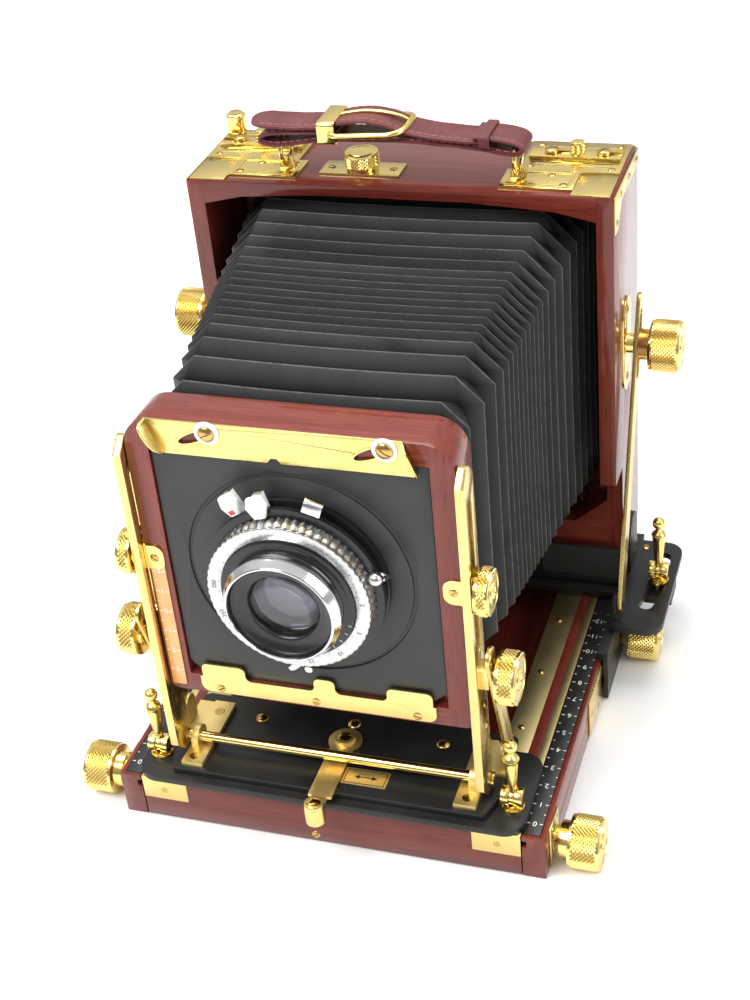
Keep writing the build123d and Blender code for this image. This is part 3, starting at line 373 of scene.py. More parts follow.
class Shape:
    """Vertices and faces gathered into one mesh."""

    def __init__(self):
        self.verts, self.faces = [], []

    def add(self, verts, faces, matrix=None):
        start = len(self.verts)
        self.verts += [tuple(matrix @ Vector(v)) if matrix else tuple(v) for v in verts]
        self.faces += [tuple(start + i for i in face) for face in faces]

    def bar(self, x, y, z, matrix=None):
        """Box between limits."""
        verts = [(a, b, c) for a in x for b in y for c in z]
        faces = [(0, 1, 3, 2), (4, 6, 7, 5), (0, 4, 5, 1), (2, 3, 7, 6), (0, 2, 6, 4), (1, 5, 7, 3)]
        self.add(verts, faces, matrix)

    def piece(self, name, body, material, slot=None, replaces=(), rounded=0.0, angle=35, segments=2):
        mesh = bpy.data.meshes.new(name)
        mesh.from_pydata([tuple(c * MM for c in v) for v in self.verts], [], self.faces)
        mesh.materials.append(material)
        work = bmesh.new()
        work.from_mesh(mesh)
        bmesh.ops.remove_doubles(work, verts=work.verts, dist=0.000001)
        bmesh.ops.recalc_face_normals(work, faces=work.faces)
        work.to_mesh(mesh)
        work.free()
        obj = bpy.data.objects.new(name, mesh)
        SCENE.collection.objects.link(obj)
        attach(obj, body)
        if replaces:
            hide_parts(*replaces)
        round_edges(obj, rounded, angle, segments)
        smooth(obj, angle)
        return obj


def gilt(shape, name, body, material=None, **settings):
    """A piece in gold plating, unless another material is given."""
    return shape.piece(name, body, material or GOLD, slot="gold_plate", **settings)


def facing(x, y, z, normal, spin=0.0):
    """Places local +Z along normal at a point; spin turns about it, in degrees."""
    n = Vector(normal).normalized()
    rotation = n.to_track_quat("Z", "Y").to_matrix().to_4x4()
    return Matrix.Translation((x, y, z)) @ rotation @ Matrix.Rotation(math.radians(spin), 4, "Z")


def lathe(profile, steps=48):
    """Turned form from (radius, height) points about local Z."""
    verts, faces, rings = [], [], []
    for r, h in profile:
        if r < 1e-6:
            rings.append([len(verts)] * steps)
            verts.append((0, 0, h))
        else:
            rings.append(list(range(len(verts), len(verts) + steps)))
            verts += [polar(r, TURN * i / steps, h) for i in range(steps)]
    for a, b in zip(rings, rings[1:]):
        for i in range(steps):
            k = (i + 1) % steps
            corners = []
            for c in (a[i], a[k], b[k], b[i]):
                if c not in corners:
                    corners.append(c)
            if len(corners) > 2:
                faces.append(tuple(corners))
    return verts, faces


def knurl(radius, low, high, cells, depth=KNURL_DEPTH):
    """Band of diamond knurling about local Z, each diamond a small pyramid."""
    rows = max(2, round((high - low) / (math.pi * radius / cells)))
    steps = cells * 2
    verts = []
    for j in range(rows + 1):
        height = low + (high - low) * j / rows
        for i in range(steps):
            raised = (i + j) % 2 and 0 < j < rows
            verts.append(polar(radius + (depth if raised else 0), TURN * i / steps, height))
    faces = []
    for k, (a, b, c, d) in enumerate(skin(rows + 1, steps)):
        even = (k % steps + k // steps) % 2 == 0
        faces += [(a, b, c), (a, c, d)] if even else [(a, b, d), (b, c, d)]
    return verts, faces + ends(rows + 1, steps)


def screw_head(radius, height, slot_width=0.5, slot_depth=0.55, steps=14):
    """Slotted screw head, drawn as chords across its slot: a dome, or flat if its height is nothing."""
    edge = slot_width / 2
    outer = [radius * math.sin(math.radians(a)) for a in (90, 72, 54, 38, 24)] + [edge]
    rows = [(-v, True) for v in outer] + [(-edge, False), (edge, False)] + [(v, True) for v in reversed(outer)]
    rim = 0.12
    verts = []
    for v, on_top in rows:
        half = math.sqrt(max(0.0, radius * radius - v * v))
        for i in range(steps + 1):
            u = -half + 2 * half * i / steps
            r = min(1.0, math.hypot(u, v) / radius)
            z = height * (1 - r ** 2.4) + rim * (r < 0.995)
            verts.append((u, v, z if on_top or r > 0.995 else max(0.02, z - slot_depth)))
    return verts, skin(len(rows), steps + 1, around=False)


def plate(outline, thickness, low=0.0):
    """Flat plate from a 2-D outline, rising from local z low by its thickness."""
    n = len(outline)
    verts = [(x, y, low) for x, y in outline] + [(x, y, low + thickness) for x, y in outline]
    return verts, ends(2, n) + skin(2, n)


def rounded_outline(width, height, radius, steps=6):
    points = []
    for cx, cy, start in ((1, 1, 0), (-1, 1, 90), (-1, -1, 180), (1, -1, 270)):
        for i in range(steps + 1):
            a = math.radians(start + 90 * i / steps)
            x, y = polar(radius, a)
            points.append((cx * (width / 2 - radius) + x, cy * (height / 2 - radius) + y))
    return points


def tube(path, radius, sides, closed=False):
    """Round wire along a path of points."""
    points = [Vector(p) for p in path]
    n = len(points)
    tangents = []
    for i in range(n):
        a = points[(i - 1) % n] if closed or i else points[i]
        b = points[(i + 1) % n] if closed or i < n - 1 else points[i]
        tangents.append((b - a).normalized())
    up = Vector((0, 0, 1)) if abs(tangents[0].z) < 0.9 else Vector((1, 0, 0))
    normal = (up - tangents[0] * up.dot(tangents[0])).normalized()
    verts = []
    for p, t in zip(points, tangents):
        normal = (normal - t * normal.dot(t)).normalized()
        side = t.cross(normal)
        for k in range(sides):
            x, y = polar(radius, TURN * k / sides)
            verts.append(tuple(p + normal * x + side * y))
    return verts, skin(n, sides, closed=closed) + ([] if closed else ends(n, sides))


def curve(points, steps):
    """Catmull-Rom curve through points."""
    points = [Vector(p) for p in points]
    last = len(points) - 1
    out = []
    for i in range(last):
        a, b, c, d = (points[max(0, min(last, i + k))] for k in (-1, 0, 1, 2))
        for s in range(steps):
            t = s / steps
            out.append(tuple(0.5 * (2 * b + (c - a) * t + (2 * a - 5 * b + 4 * c - d) * t * t
                                    + (3 * b - a - 3 * c + d) * t ** 3)))
    return out + [tuple(points[-1])]


def figures(text, size):
    """Flat figures as a mesh, centred on local origin, size millimetres tall."""
    letters = bpy.data.curves.new("figure", "FONT")
    letters.body = text
    letters.size = size
    letters.align_x, letters.align_y = "CENTER", "CENTER"
    letters.extrude = 0.03
    letters.resolution_u = 3
    holder = bpy.data.objects.new("figure", letters)
    mesh = bpy.data.meshes.new_from_object(holder)
    verts = [tuple(v.co) for v in mesh.vertices]
    faces = [tuple(p.vertices) for p in mesh.polygons]
    bpy.data.objects.remove(holder)
    bpy.data.curves.remove(letters)
    bpy.data.meshes.remove(mesh)
    return verts, faces


def ring_plate(outer, inner, thickness):
    """Flat plate between two outlines of the same count."""
    n = len(outer)
    verts = [(x, y, h) for outline in (outer, inner) for h in (0, thickness) for x, y in outline]
    faces = []
    for i in range(n):
        k = (i + 1) % n
        faces += [(i, k, n + k, n + i), (2 * n + k, 2 * n + i, 3 * n + i, 3 * n + k),
                  (k, i, 2 * n + i, 2 * n + k), (n + i, n + k, 3 * n + k, 3 * n + i)]
    return verts, faces


# ---------------- bellows
# y, half width, bottom, top and corner gusset of the two ends, and the ridges' y between them
FRONT = (-68.7, 55.0, 64.5, 178.0, 9.5)
BACK = (82.8, 71.0, 54.5, 198.5, 13.0)
RIDGES = (-60, -46, -35, -27, -21.5, -17, -12.5, -8, -3.5, 1, 5.5, 10, 15, 21.5, 29, 38, 47, 55, 62.5, 69.5, 76.5)


def bellows_loop(y, inset, gather, waver=0.2):
    """Eight-cornered section at y; inset draws it in and gather shrinks the corner gussets."""
    t = (y - FRONT[0]) / (BACK[0] - FRONT[0])
    half, low, high, corner = (a + (b - a) * t for a, b in zip(FRONT[1:], BACK[1:]))
    half, low, high = half - inset, low + inset, high - inset
    corner = max(1.2, corner * gather)
    corners = [(half, low + corner), (half, high - corner), (half - corner, high), (-half + corner, high),
               (-half, high - corner), (-half, low + corner), (-half + corner, low), (half - corner, low)]
    points = []
    for i, (a, b) in enumerate(zip(corners, corners[1:] + corners[:1])):
        if i % 2:
            points.append((a[0], y, a[1]))
            continue
        for u in (s / 10 for s in range(10)):
            x, z = a[0] + (b[0] - a[0]) * u, a[1] + (b[1] - a[1]) * u
            bow = math.sin(math.pi * u)
            if i == 2:
                z -= 0.9 * bow
            elif i in (0, 4):
                x -= math.copysign(0.35 * bow, x)
            points.append((x, y + waver * bow * math.sin(3.1 * u + y * 0.7), z))
    return points


stations = [(FRONT[0], 0.6, 1.0), (FRONT[0] + 1.2, 0.4, 1.0)]
previous = FRONT[0] + 1.2
for ridge in RIDGES:
    pitch = ridge - previous
    depth = 6.6 - 0.12 * max(0.0, 8.0 - pitch) - 0.10 * max(0.0, pitch - 8.0)
    stations += [(previous + pitch * 0.56, depth, 0.12), (ridge, 0.1, 1.0)]
    previous = ridge
stations += [((previous + BACK[0]) / 2, 5.2, 0.15), (BACK[0] - 1.0, 0.3, 1.0), (BACK[0], 0.3, 1.0)]
loops = [bellows_loop(*station) for station in stations]
cloth = Shape()
cloth.add([p for loop in loops for p in loop], skin(len(loops), len(loops[0])))
bellows = cloth.piece("bellows_cloth", "bed", BELLOWS, slot="bellows_black", replaces=["bellows"], angle=28)
bellows.modifiers.clear()
# how far each point stands out of its fold: 1 along the ridges, 0 down in the valleys; the material paints shade
# and a highlight from it
fold = bellows.data.attributes.new("fold", "FLOAT", "POINT")
for vertex in bellows.data.vertices:
    nearest = min(stations, key=lambda station: abs(station[0] - vertex.co.y / MM))
    fold.data[vertex.index].value = 1.0 if nearest[1] < 1.0 else 0.0
for group_name, body in (("front", "lens_standard"), ("rear", "rear_standard")):
    group = bellows.vertex_groups.new(name=group_name)
    for vertex in bellows.data.vertices:
        share = (BACK[0] - 1.5 - vertex.co.y / MM) / (BACK[0] - FRONT[0] - 3.0)
        share = max(0.0, min(1.0, share)) ** 1.5
        group.add([vertex.index], share if group_name == "front" else 1 - share, "REPLACE")
    hook = bellows.modifiers.new(f"follows_{group_name}", "HOOK")
    hook.object = BODIES[body]
    hook.vertex_group = group_name
    hook.matrix_inverse = Matrix.Identity(4)
shell = bellows.modifiers.new("cloth", "SOLIDIFY")
shell.thickness = 0.5 * MM
shell.offset = -1
CLOTH_ANGLE = 24
round_edges(bellows, 0.22, CLOTH_ANGLE)
smooth(bellows, CLOTH_ANGLE)

# ---------------- knurled knobs
KNOBS = (
    # name, body, limits of x, y, z, radius, cells
    ("focus_knurl", "focus_shaft", (91.9, 101.8), -83.0, 10.0, 9.74, 40),
    ("tilt_knurl", "tilt_knob", (68.2, 73.8), -83.0, 84.0, 9.44, 38),
    ("rise_knurl", "rise_knob", (63.2, 66.7), -85.0, 122.0, 8.24, 34),
    ("clamp_knurl", "rear_clamp", (91.3, 102.2), 39.0, 10.0, 9.44, 38),
    ("brace_knurl", "brace_knob", (95.0, 105.2), 67.0, 134.0, 10.04, 42),
)
for name, body, (low, high), y, z, radius, cells in KNOBS:
    face = [(radius - 1.3, -0.1), (radius - 1.35, 0.18), (radius - 1.8, 0.2), (radius - 1.9, 0.02),
            (4.2, 0.02), (4.1, 0.3), (3.3, 0.38), (0, 0.4)]
    for sign, word in SIDES:
        grip = Shape()
        grip.add(*knurl(radius, low, high, cells), facing(0, y, z, (sign, 0, 0)))
        grip.add(*lathe(face, 64), facing(sign * (high + 0.8), y, z, (sign, 0, 0)))
        spin = 30 + 50 * (sign > 0) + cells * 7
        grip.add(*screw_head(2.3, 0.5), facing(sign * (high + 1.15), y, z, (sign, 0, 0), spin))
        gilt(grip, f"{name}_{word}", body if body == "focus_shaft" else f"{body}_{word}", angle=20)
lock = Shape()
lock.add(*knurl(6.44, 208.4, 213.0, 30), facing(-16, 59, 0, UP))
lock.add(*lathe([(5.4, 213.9), (5.2, 214.2), (4.6, 214.2), (4.5, 214.05), (0, 214.05)]), facing(-16, 59, 0, UP))
gilt(lock, "lock_knurl", "lock_knob", angle=20)

# ---------------- screws
WOOD_TOP, PLATE_TOP = 20.0, 207.0
ACROSS = (-1, 1)
CORNER_SCREWS = ((48, 68), (48, 88), (64, 88), (79, 88), (79, 67), (58, 60), (43, 60), (43, 51.5), (64, 51.5))
SIDE_SCREWS = ((-86.5, 3.2), (-86.5, 16.8), (-78.5, 3.2), (-78.5, 16.8), (-14, 10.5), (-2, 4.5), (-2, 16.5),
               (20, 16.9), (58, 16.9), (84, 10.5))
SCREWS = {
    # body: (x, y, z, normal, radius, dome height, spin); heads with no dome are countersunk
    "focus_track": [(s * 62, y, WOOD_TOP, UP, 1.5, 0.5, y * 7) for s in ACROSS
                    for y in (-72, -38, -4, 30, 64, 80)]
    + [(s * 66, -91, WOOD_TOP, UP, 1.5, 0.0, 20) for s in ACROSS]
    + [(s * 66, -95, 14.2, AHEAD, 1.4, 0.0, 60) for s in ACROSS]
    + [(-5, -95, 3.6, AHEAD, 1.7, 0.5, 35)],
    "bed": [(s * 84.75, y, z, (s, 0, 0), 1.4, 0.0, y + z * 11) for s in ACROSS for y, z in SIDE_SCREWS],
    "rear_standard": [(s * x, y, PLATE_TOP, UP, 1.6, 0.45, x * 5 + y) for s in ACROSS for x, y in CORNER_SCREWS
                      if (s * x, y) != (-79, 88)]
    + [(-16 + s * 12.5, 59, PLATE_TOP, UP, 1.7, 0.4, 20 * s) for s in ACROSS]
    + [(s * 84.6, 67, 134 + d, (s, 0, 0), 1.7, 0.4, 15 * d) for s in ACROSS for d in (-15, 15)],
    "front_swing": [(s * 54, y, 28.2, UP, 2.1, 0.0, y * 3) for s in ACROSS for y in (-88, -62)]
    + [(x, y, 26.2, UP, 2.6, 1.0, spin) for x, y, spin in ((-37, -60, 40), (37, -60, 10), (0, -56, 75))],
    "swing_lock": [(0, -67, 29.2, UP, 3.0, 0.8, 20)],
    "lens_standard": [(x, -88.2, 64.9, AHEAD, 1.7, 0.4, x * 9) for x in (-37.4, -0.3, 37.9)]
    + [(s * 54.6, -88.0, 122, AHEAD, 1.7, 0.4, 40 * s) for s in ACROSS],
    "front_tilt": [(s * 61.4, -82.5, z, (s, 0, 0), 1.5, 0.4, z) for s in ACROSS for z in (60, 70)],
    "rear_swing": [(s * x, y, 27.4, UP, 1.7, 0.4, x + y) for s in ACROSS
                   for x, y in ((80, 70), (62, 79), (90, 78))],
}
for body, rows in SCREWS.items():
    heads = Shape()
    for x, y, z, normal, radius, dome, spin in rows:
        heads.add(*screw_head(radius, dome), facing(x, y, z, normal, spin))
    gilt(heads, f"screws_{body}", body, SCREW, angle=38)
heads, washers = Shape(), Shape()
for x, spin in ((-26.2, 25), (35.4, -35)):
    seat = facing(x, -88.35, 176.85, AHEAD)
    heads.add(*lathe([(1.4, -1.4), (1.4, 1.0)], 24), seat)
    heads.add(*screw_head(2.9, 1.0), facing(x, -89.1, 176.85, AHEAD, spin))
    washers.add(*lathe([(4.5, 0), (4.5, 0.2), (4.2, 0.42), (1.4, 0.45)], 40), seat)
washers.piece("lock_washers", "lens_standard", WHITE_LEVER, angle=30)
gilt(heads, "lock_screw_heads", "lens_standard", SCREW, replaces=["lock_screws"], angle=38)

# ---------------- engraved scales
LINE = 0.16  # half a scale line's thickness
marks = Shape()
for sign in ACROSS:
    for number in range(13):
        y = -87.6 + 10 * number
        for x, long, short in ((75.6, 1.3, 0.8), (81.7, -1.2, -0.7)):
            for middle, length in ((y, long), (y + 5, short)):
                marks.bar((sign * x, sign * (x + length)), (middle - LINE, middle + LINE), (WOOD_TOP, 20.05))
        turn = Matrix.Translation((sign * 78.7, y, 20.02)) @ Matrix.Rotation(math.pi, 4, "Z")
        marks.add(*figures(str(number), 3.4), turn)
marks.piece("bed_scale_figures", "bed", WHITE_PAINT, angle=30)

# rise scale up the left edge of the lens frame
strip = Shape()
strip.add(*plate(rounded_outline(5.6, 58, 0.6), 0.5), facing(-54.2, -87.2, 93, AHEAD))
gilt(strip, "rise_scale", "lens_standard", COPPER, rounded=0.1)
marks = Shape()
for i, label in enumerate("321012"):
    z = 71 + 9 * i
    lines = [(-56.8, -55.4, z), (-53.0, -51.6, z)] + ([(-56.8, -56.0, z + 4.5)] if i < 5 else [])
    for x0, x1, middle in lines:
        marks.bar((x0, x1), (-87.72, -87.68), (middle - LINE, middle + LINE))
    turn = Matrix.Translation((-54.2, -87.7, z)) @ Matrix.Rotation(math.pi / 2, 4, "X")
    marks.add(*figures(label, 3.0), turn)
marks.piece("rise_scale_figures", "lens_standard", WHITE_PAINT)

# ---------------- direction plate on the swing plate
label = Shape()
here = facing(13.5, -84, 26.18, UP)
label.add(*plate(rounded_outline(17.5, 8.6, 0.4), 0.1), here)
gilt(label, "direction_plate", "front_swing", GOLD_SATIN, rounded=0.03)
arrow = Shape()
here = Matrix.Translation((13.5, -84, 26.26))
ink = (0, 0.05)
for x, y in (((-7.9, 7.9), (-3.6, -3.3)), ((-7.9, 7.9), (3.3, 3.6)), ((-7.9, -7.6), (-3.6, 3.6)),
             ((7.6, 7.9), (-3.6, 3.6)), ((-2.7, 2.7), (-0.25, 0.25))):
    arrow.bar(x, y, ink, here)
for sign in ACROSS:
    arrow.add(*plate([(sign * 4.6, 0), (sign * 2.4, 1.1), (sign * 2.4, -1.1)], ink[1]), here)
arrow.piece("direction_marks", "front_swing", MATT_BLACK)

# the swing lock's end button
button = Shape()
button.add(*lathe([(3.65, 21.0), (3.9, 21.6), (3.9, 27.4), (3.75, 28.4), (3.2, 29.3), (2.2, 29.9), (1.0, 30.2),
                   (0, 30.25)], 40), Matrix.Translation((0, -104, 0)))
gilt(button, "swing_lock_button", "swing_lock", angle=40)

# ---------------- lens and shutter
LENS_Z = 121.0
UPRIGHT = -math.pi / 2


def on_lens(y, angle, radius, spin=0.0):
    """Matrix on the shutter's front, at an angle from +X towards +Z, facing the front."""
    a = math.radians(angle)
    x, z = polar(radius, a)
    here = Matrix.Translation((x, y, LENS_Z + z))
    return here @ Matrix.Rotation(math.pi / 2, 4, "X") @ Matrix.Rotation(a + spin, 4, "Z")


# profiles on the lens axis are (radius, distance ahead of y 0)
axis = facing(0, 0, LENS_Z, AHEAD)


def turned(profiles, steps=64):
    shape = Shape()
    for profile in profiles:
        shape.add(*lathe(profile, steps), axis)
    return shape


cell = turned([[(12.9, 101.2), (20.2, 101.2), (20.2, 104.4), (20.35, 104.6), (20.35, 105.4), (20.8, 105.6),
                (20.95, 105.9), (20.95, 106.7), (20.7, 107.1), (19.5, 109.6), (19.1, 109.95), (18.7, 109.9),
                (18.5, 109.5), (18.5, 106.6), (12.9, 104.6)]], 96)
cell.piece("front_cell_turned", "lens_standard", CHROME, slot="chrome", replaces=["lens_front_cell"],
           angle=22)
barrel = turned([[(18.48, 108.9), (18.4, 107.2), (18.1, 106.85), (14.2, 105.7), (13.4, 105.55), (12.9, 105.2),
                  (12.6, 104.4), (12.4, 101.0), (12.0, 98.0), (11.6, 96.0)],
                 [(17.94, 106.4), (17.9, 106.86), (17.7, 106.8), (17.66, 106.4)]], 72)
barrel.piece("name_ring", "lens_standard", SHUTTER_BLACK, angle=40)
baffles = turned([[(12.5, h), (r, h + 0.25), (r - 0.1, h + 0.1), (12.5, h - 0.25)]
                  for h, r in ((100.8, 11.9), (99.6, 11.4), (98.5, 11.0))])
baffles.piece("lens_baffles", "lens_standard", MATT_BLACK, angle=40)
iris = Shape()
BLADES = 10
for i in range(BLADES):
    a = TURN * i / BLADES
    outline = [polar(r, a + da) for r, da in ((12.4, 0.0), (12.4, 0.32), (12.4, 0.64), (12.4, 0.96), (7.9, 1.1),
                                              (7.2, 0.62), (6.9, 0.1))]
    iris.add(*plate(outline, 0.12, 94.0 + 0.02 * i), axis)
iris.piece("iris_blades", "lens_standard", MATT_BLACK, angle=40)
glass = turned([[(12.5, 103.4), (12.3, 103.8), (9.0, 104.9), (6.0, 105.4), (3.0, 105.7), (0, 105.8)],
                [(12.5, 103.4), (12.5, 102.4), (8.0, 101.6), (0, 101.3)]])
glass.piece("front_glass", "lens_standard", LENS, slot="glass", replaces=["lens_glass"], angle=40)
glass = turned([[(0, 70.0), (13.0, 70.0), (13.0, 66.0), (10.0, 65.2), (5.0, 64.4), (0, 64.2)]])
glass.piece("rear_glass", "lens_standard", LENS, slot="glass", angle=40)
glass = turned([[(10.8, 97.4), (10.5, 97.6), (7.0, 98.0), (0, 98.3)],
                [(10.8, 97.4), (10.8, 96.4), (6.0, 95.6), (0, 95.3)]])
glass.piece("inner_glass", "lens_standard", COATED, slot="glass", angle=40)

# the two white paddles, the chrome tab and the ball end stand for the small levers' plain lugs
LEVERS = (
    # node, angle, tip radius, shape, paint, width, height above the groove
    ("cocking_lever", 119, 37.6, "paddle", WHITE_LEVER, 6.8, 3.6),
    ("release_lever", 104, 34.4, "paddle", WHITE_LEVER, 7.8, 4.4),
    ("sync_lever", 73, 36.0, "tab", CHROME, 6.6, 3.2),
    ("aperture_lever", 19, 33.2, "ball", CHROME, 0, 6.6),
)
GROOVE_Y, ROOT = -91.0, 28.8
# a paddle's outline: fractions of its width, and millimetres from its tip radius
BLADE = ((-0.24, -3.9), (0.24, -3.9), (0.5, 0.8), (0.36, 4.0), (0.2, 4.2), (-0.2, 4.2), (-0.36, 4.0), (-0.5, 0.8))
for node_name, angle, tip, kind, paint, wide, above in LEVERS:
    lever = Shape()
    here = on_lens(GROOVE_Y, angle, 0, UPRIGHT)
    if kind == "paddle":
        outer = [(1.6, tip + 3.6), (-1.6, tip + 3.6)]
        lever.add(*plate([(-1.9, ROOT), (1.9, ROOT), *outer], 1.5), here)
        lever.add(*plate([(-1.6, tip + 0.9), (1.6, tip + 0.9), *outer], above + 0.6), here)
        n = len(BLADE)
        verts = [(x * wide * narrowed, tip + y * shortened, above + rise) for narrowed, shortened, rise in
                 ((1.0, 1.0, 0.0), (1.0, 1.0, 1.5), (0.8, 0.84, 2.6)) for x, y in BLADE]
        lever.add(verts, ends(3, n) + skin(3, n), here)
    elif kind == "tab":
        lever.add(*plate([(-1.8, ROOT), (1.8, ROOT), (1.6, tip + 1.0), (-1.6, tip + 1.0)], 1.4), here)
        bends = ((tip + 2.2, 1.0), (tip + 1.4, above), (tip - 2.0, above + 0.9))
        verts = [(x * wide / 2, y, z + dz) for y, z in bends for dz in (0.0, 0.7) for x in ACROSS]
        faces = [(0, 1, 3, 2), (8, 10, 11, 9)]
        for k in (0, 4):
            faces += [(k, k + 4, k + 5, k + 1), (k + 2, k + 3, k + 7, k + 6), (k, k + 2, k + 6, k + 4),
                      (k + 1, k + 5, k + 7, k + 3)]
        lever.add(verts, faces, here)
    else:
        arm = [(0.0, 28.9, 0.8), (2.2, tip - 0.6, 1.1), (3.0, tip + 1.6, 2.0), (1.6, tip + 1.4, above - 1.6),
               (0, tip, above)]
        lever.add(*tube(arm, 0.85, 10), here)
        ball = [(0.0, -2.4)] + [polar(2.5, math.radians(a)) for a in range(-75, 76, 15)] + [(0.0, 2.5)]
        lever.add(*lathe(ball, 20), here @ Matrix.Translation((0, tip, above)))
    lever.piece(f"{node_name}_shaped", node_name, paint, slot="chrome", replaces=[node_name],
                rounded=0.4 if kind == "paddle" else 0.12, angle=25)
mark = Shape()
mark.bar((-1.1, 1.1), (34.7, 36.4), (6.2, 6.28), on_lens(GROOVE_Y, 119, 0, UPRIGHT))
mark.piece("cocking_mark", "cocking_lever", RED_PAINT)
pointer = Shape()
outline = [(-3.6, 31.0), (-0.6, 30.2), (5.4, 36.6), (4.6, 37.8), (2.8, 37.2)]
pointer.add(*plate(outline, 0.9), on_lens(-93.2, -92, 0, UPRIGHT))
pointer.add(*lathe([(1.5, 0), (1.5, 0.5), (0, 0.8)], 20), on_lens(-94.1, -88, 35.6))
pointer.piece("preview_lever", "lens_standard", CHROME, slot="chrome", rounded=0.15)

# black bezel with index marks inside the speed ring, and a flash socket under the shutter
bezel = turned([[(24.0, 100.9), (23.7, 101.1), (22.2, 101.15), (20.9, 101.4), (20.3, 101.9)]], 96)
bezel.piece("shutter_bezel", "lens_standard", SHUTTER_BLACK, angle=40)
ticks = Shape()
for angle in range(200, 341, 10):
    ticks.bar((-0.6, 0.6), (-0.11, 0.11), (0, 0.06), on_lens(-101.13, angle, 23.0))
ticks.piece("bezel_ticks", "lens_standard", WHITE_PAINT)
outlet = Shape()
x, z = polar(1, math.radians(232))
outlet.add(*lathe([(0, -1), (2.2, -1), (2.2, 5.2), (1.9, 5.5), (1.3, 5.5), (1.2, 3.5), (0, 3.5)], 28),
           facing(26 * x, -90.6, LENS_Z + 30 * z, (x, 0, z)))
outlet.piece("flash_socket", "lens_standard", CHROME, slot="chrome", angle=30)

# the speed ring, fluted round its rim: rows of (radius, distance ahead, depth of flute)
FLUTES, PER_FLUTE = 60, 6
RING = ((29.6, 94.8, 0.6), (29.8, 95.0, 0.6), (29.8, 98.6, 0.6), (29.35, 99.3, 0.6), (29.3, 100.3, 0.3),
        (29.0, 100.55, 0.3), (28.6, 100.6, 0), (24.6, 100.62, 0), (24.1, 100.3, 0), (24.1, 94.8, 0))
steps = FLUTES * PER_FLUTE
fluted = Shape()
verts = [polar(r - depth * (0.5 + 0.5 * math.cos(TURN * i / PER_FLUTE)) ** 2, TURN * i / steps, h)
         for r, h, depth in RING for i in range(steps)]
fluted.add(verts, skin(len(RING), steps, closed=True), axis)
fluted.piece("speed_ring_fluted", "speed_ring", SATIN_CHROME, slot="chrome", replaces=["speed_ring"], angle=40)

# figures round the speed ring, on its front face
speeds = Shape()
for i, speed in enumerate((1, 2, 5, 10, 25, 50, 100, 250, 500)):
    speeds.add(*figures(str(speed), 2.3), on_lens(-100.62, 30 - 27 * i, 26.6, UPRIGHT))
for i in range(36):
    speeds.bar((-0.35, 0.35), (-0.09, 0.09), (0, 0.04), on_lens(-100.6, 10 * i, 24.95))
speeds.piece("speed_figures", "speed_ring", MATT_BLACK)

# ---------------- thread in the tripod socket
THREAD_TURNS, THREAD_PITCH, THREAD_STEPS = 6, 1.5875, 24
coil = Shape()
spiral = [k / THREAD_STEPS for k in range(THREAD_TURNS * THREAD_STEPS + 1)]
coil.add(*tube([polar(3.86, TURN * t, 0.7 + THREAD_PITCH * t) for t in spiral], 0.42, 6))
gilt(coil, "socket_thread", "bed", angle=40)

# ---------------- carrying strap
STRAP_Y = 57.0


def arc_lengths(path):
    out = [0.0]
    for a, b in zip(path, path[1:]):
        out.append(out[-1] + math.dist(a, b))
    return out


def strap_waver(length):
    """How far the strap strays sideways at a length along it."""
    return 0.22 * math.sin(length * 0.21) + 0.12 * math.sin(length * 0.57)


def ribbon(path, width, thick, tongue=0.0):
    """Leather band swept along an (x, z) path; its first stretch can narrow to a tongue."""
    section = [(u * width / 2, thick / 2 * (0.45 + (0.55 * (1 - u ** 8) if abs(u) < 0.99 else 0.0)))
               for u in (-1.0, -0.96, -0.86, -0.5, 0.0, 0.5, 0.86, 0.96, 1.0)]
    outline = section + [(v, -h) for v, h in reversed(section)]
    verts = []
    for i, ((x, z), length) in enumerate(zip(path, arc_lengths(path))):
        a, b = path[max(0, i - 1)], path[min(len(path) - 1, i + 1)]
        along = Vector((b[0] - a[0], b[1] - a[1])).normalized()
        narrow = 0.25 + 0.75 * math.sqrt(1 - (1 - length / tongue) ** 2) if length < tongue else 1.0
        y = STRAP_Y + strap_waver(length)
        verts += [(x - along.y * h, y + v * narrow, z + along.x * h) for v, h in outline]
    n = len(outline)
    return verts, skin(len(path), n) + ends(len(path), n)


def strap_path(points):
    return [(x, z) for x, y, z in curve([(x, 0, z) for x, z in points], 7)]


UNDER = strap_path([
    (31, 224.6), (38, 224.3), (44, 223.5), (48.2, 222.2), (49.6, 220.4), (48.0, 218.9), (44, 218.8), (37, 219.8),
    (22, 221.4), (2, 222.3), (-18, 222.0), (-34, 220.6), (-42, 219.3), (-48, 218.9), (-52.6, 219.4), (-53.6, 221.2),
    (-50.6, 222.9), (-45, 223.6), (-36, 224.2), (-22, 224.4)])
OVER = strap_path([
    (-57.8, 226.4), (-52, 226.2), (-46, 226.0), (-36, 226.2), (-28, 226.6), (-22, 228.0), (-16, 229.2), (-9, 229.5),
    (-3, 228.6), (3, 226.4), (10, 224.6), (18, 223.8), (27, 223.2), (33, 222.9)])
UNDER_THICK, OVER_THICK = 1.7, 1.9
STITCH_PITCH, STITCH_HALF, SEAM = 3.0, 1.0, 6.3
band = Shape()
band.add(*ribbon(UNDER, 15.4, UNDER_THICK))
band.add(*ribbon(OVER, 15.8, OVER_THICK, tongue=7))
band.piece("strap_bands", "handle", STRAP, slot="strap_leather", replaces=["strap"], angle=50)
thread = Shape()
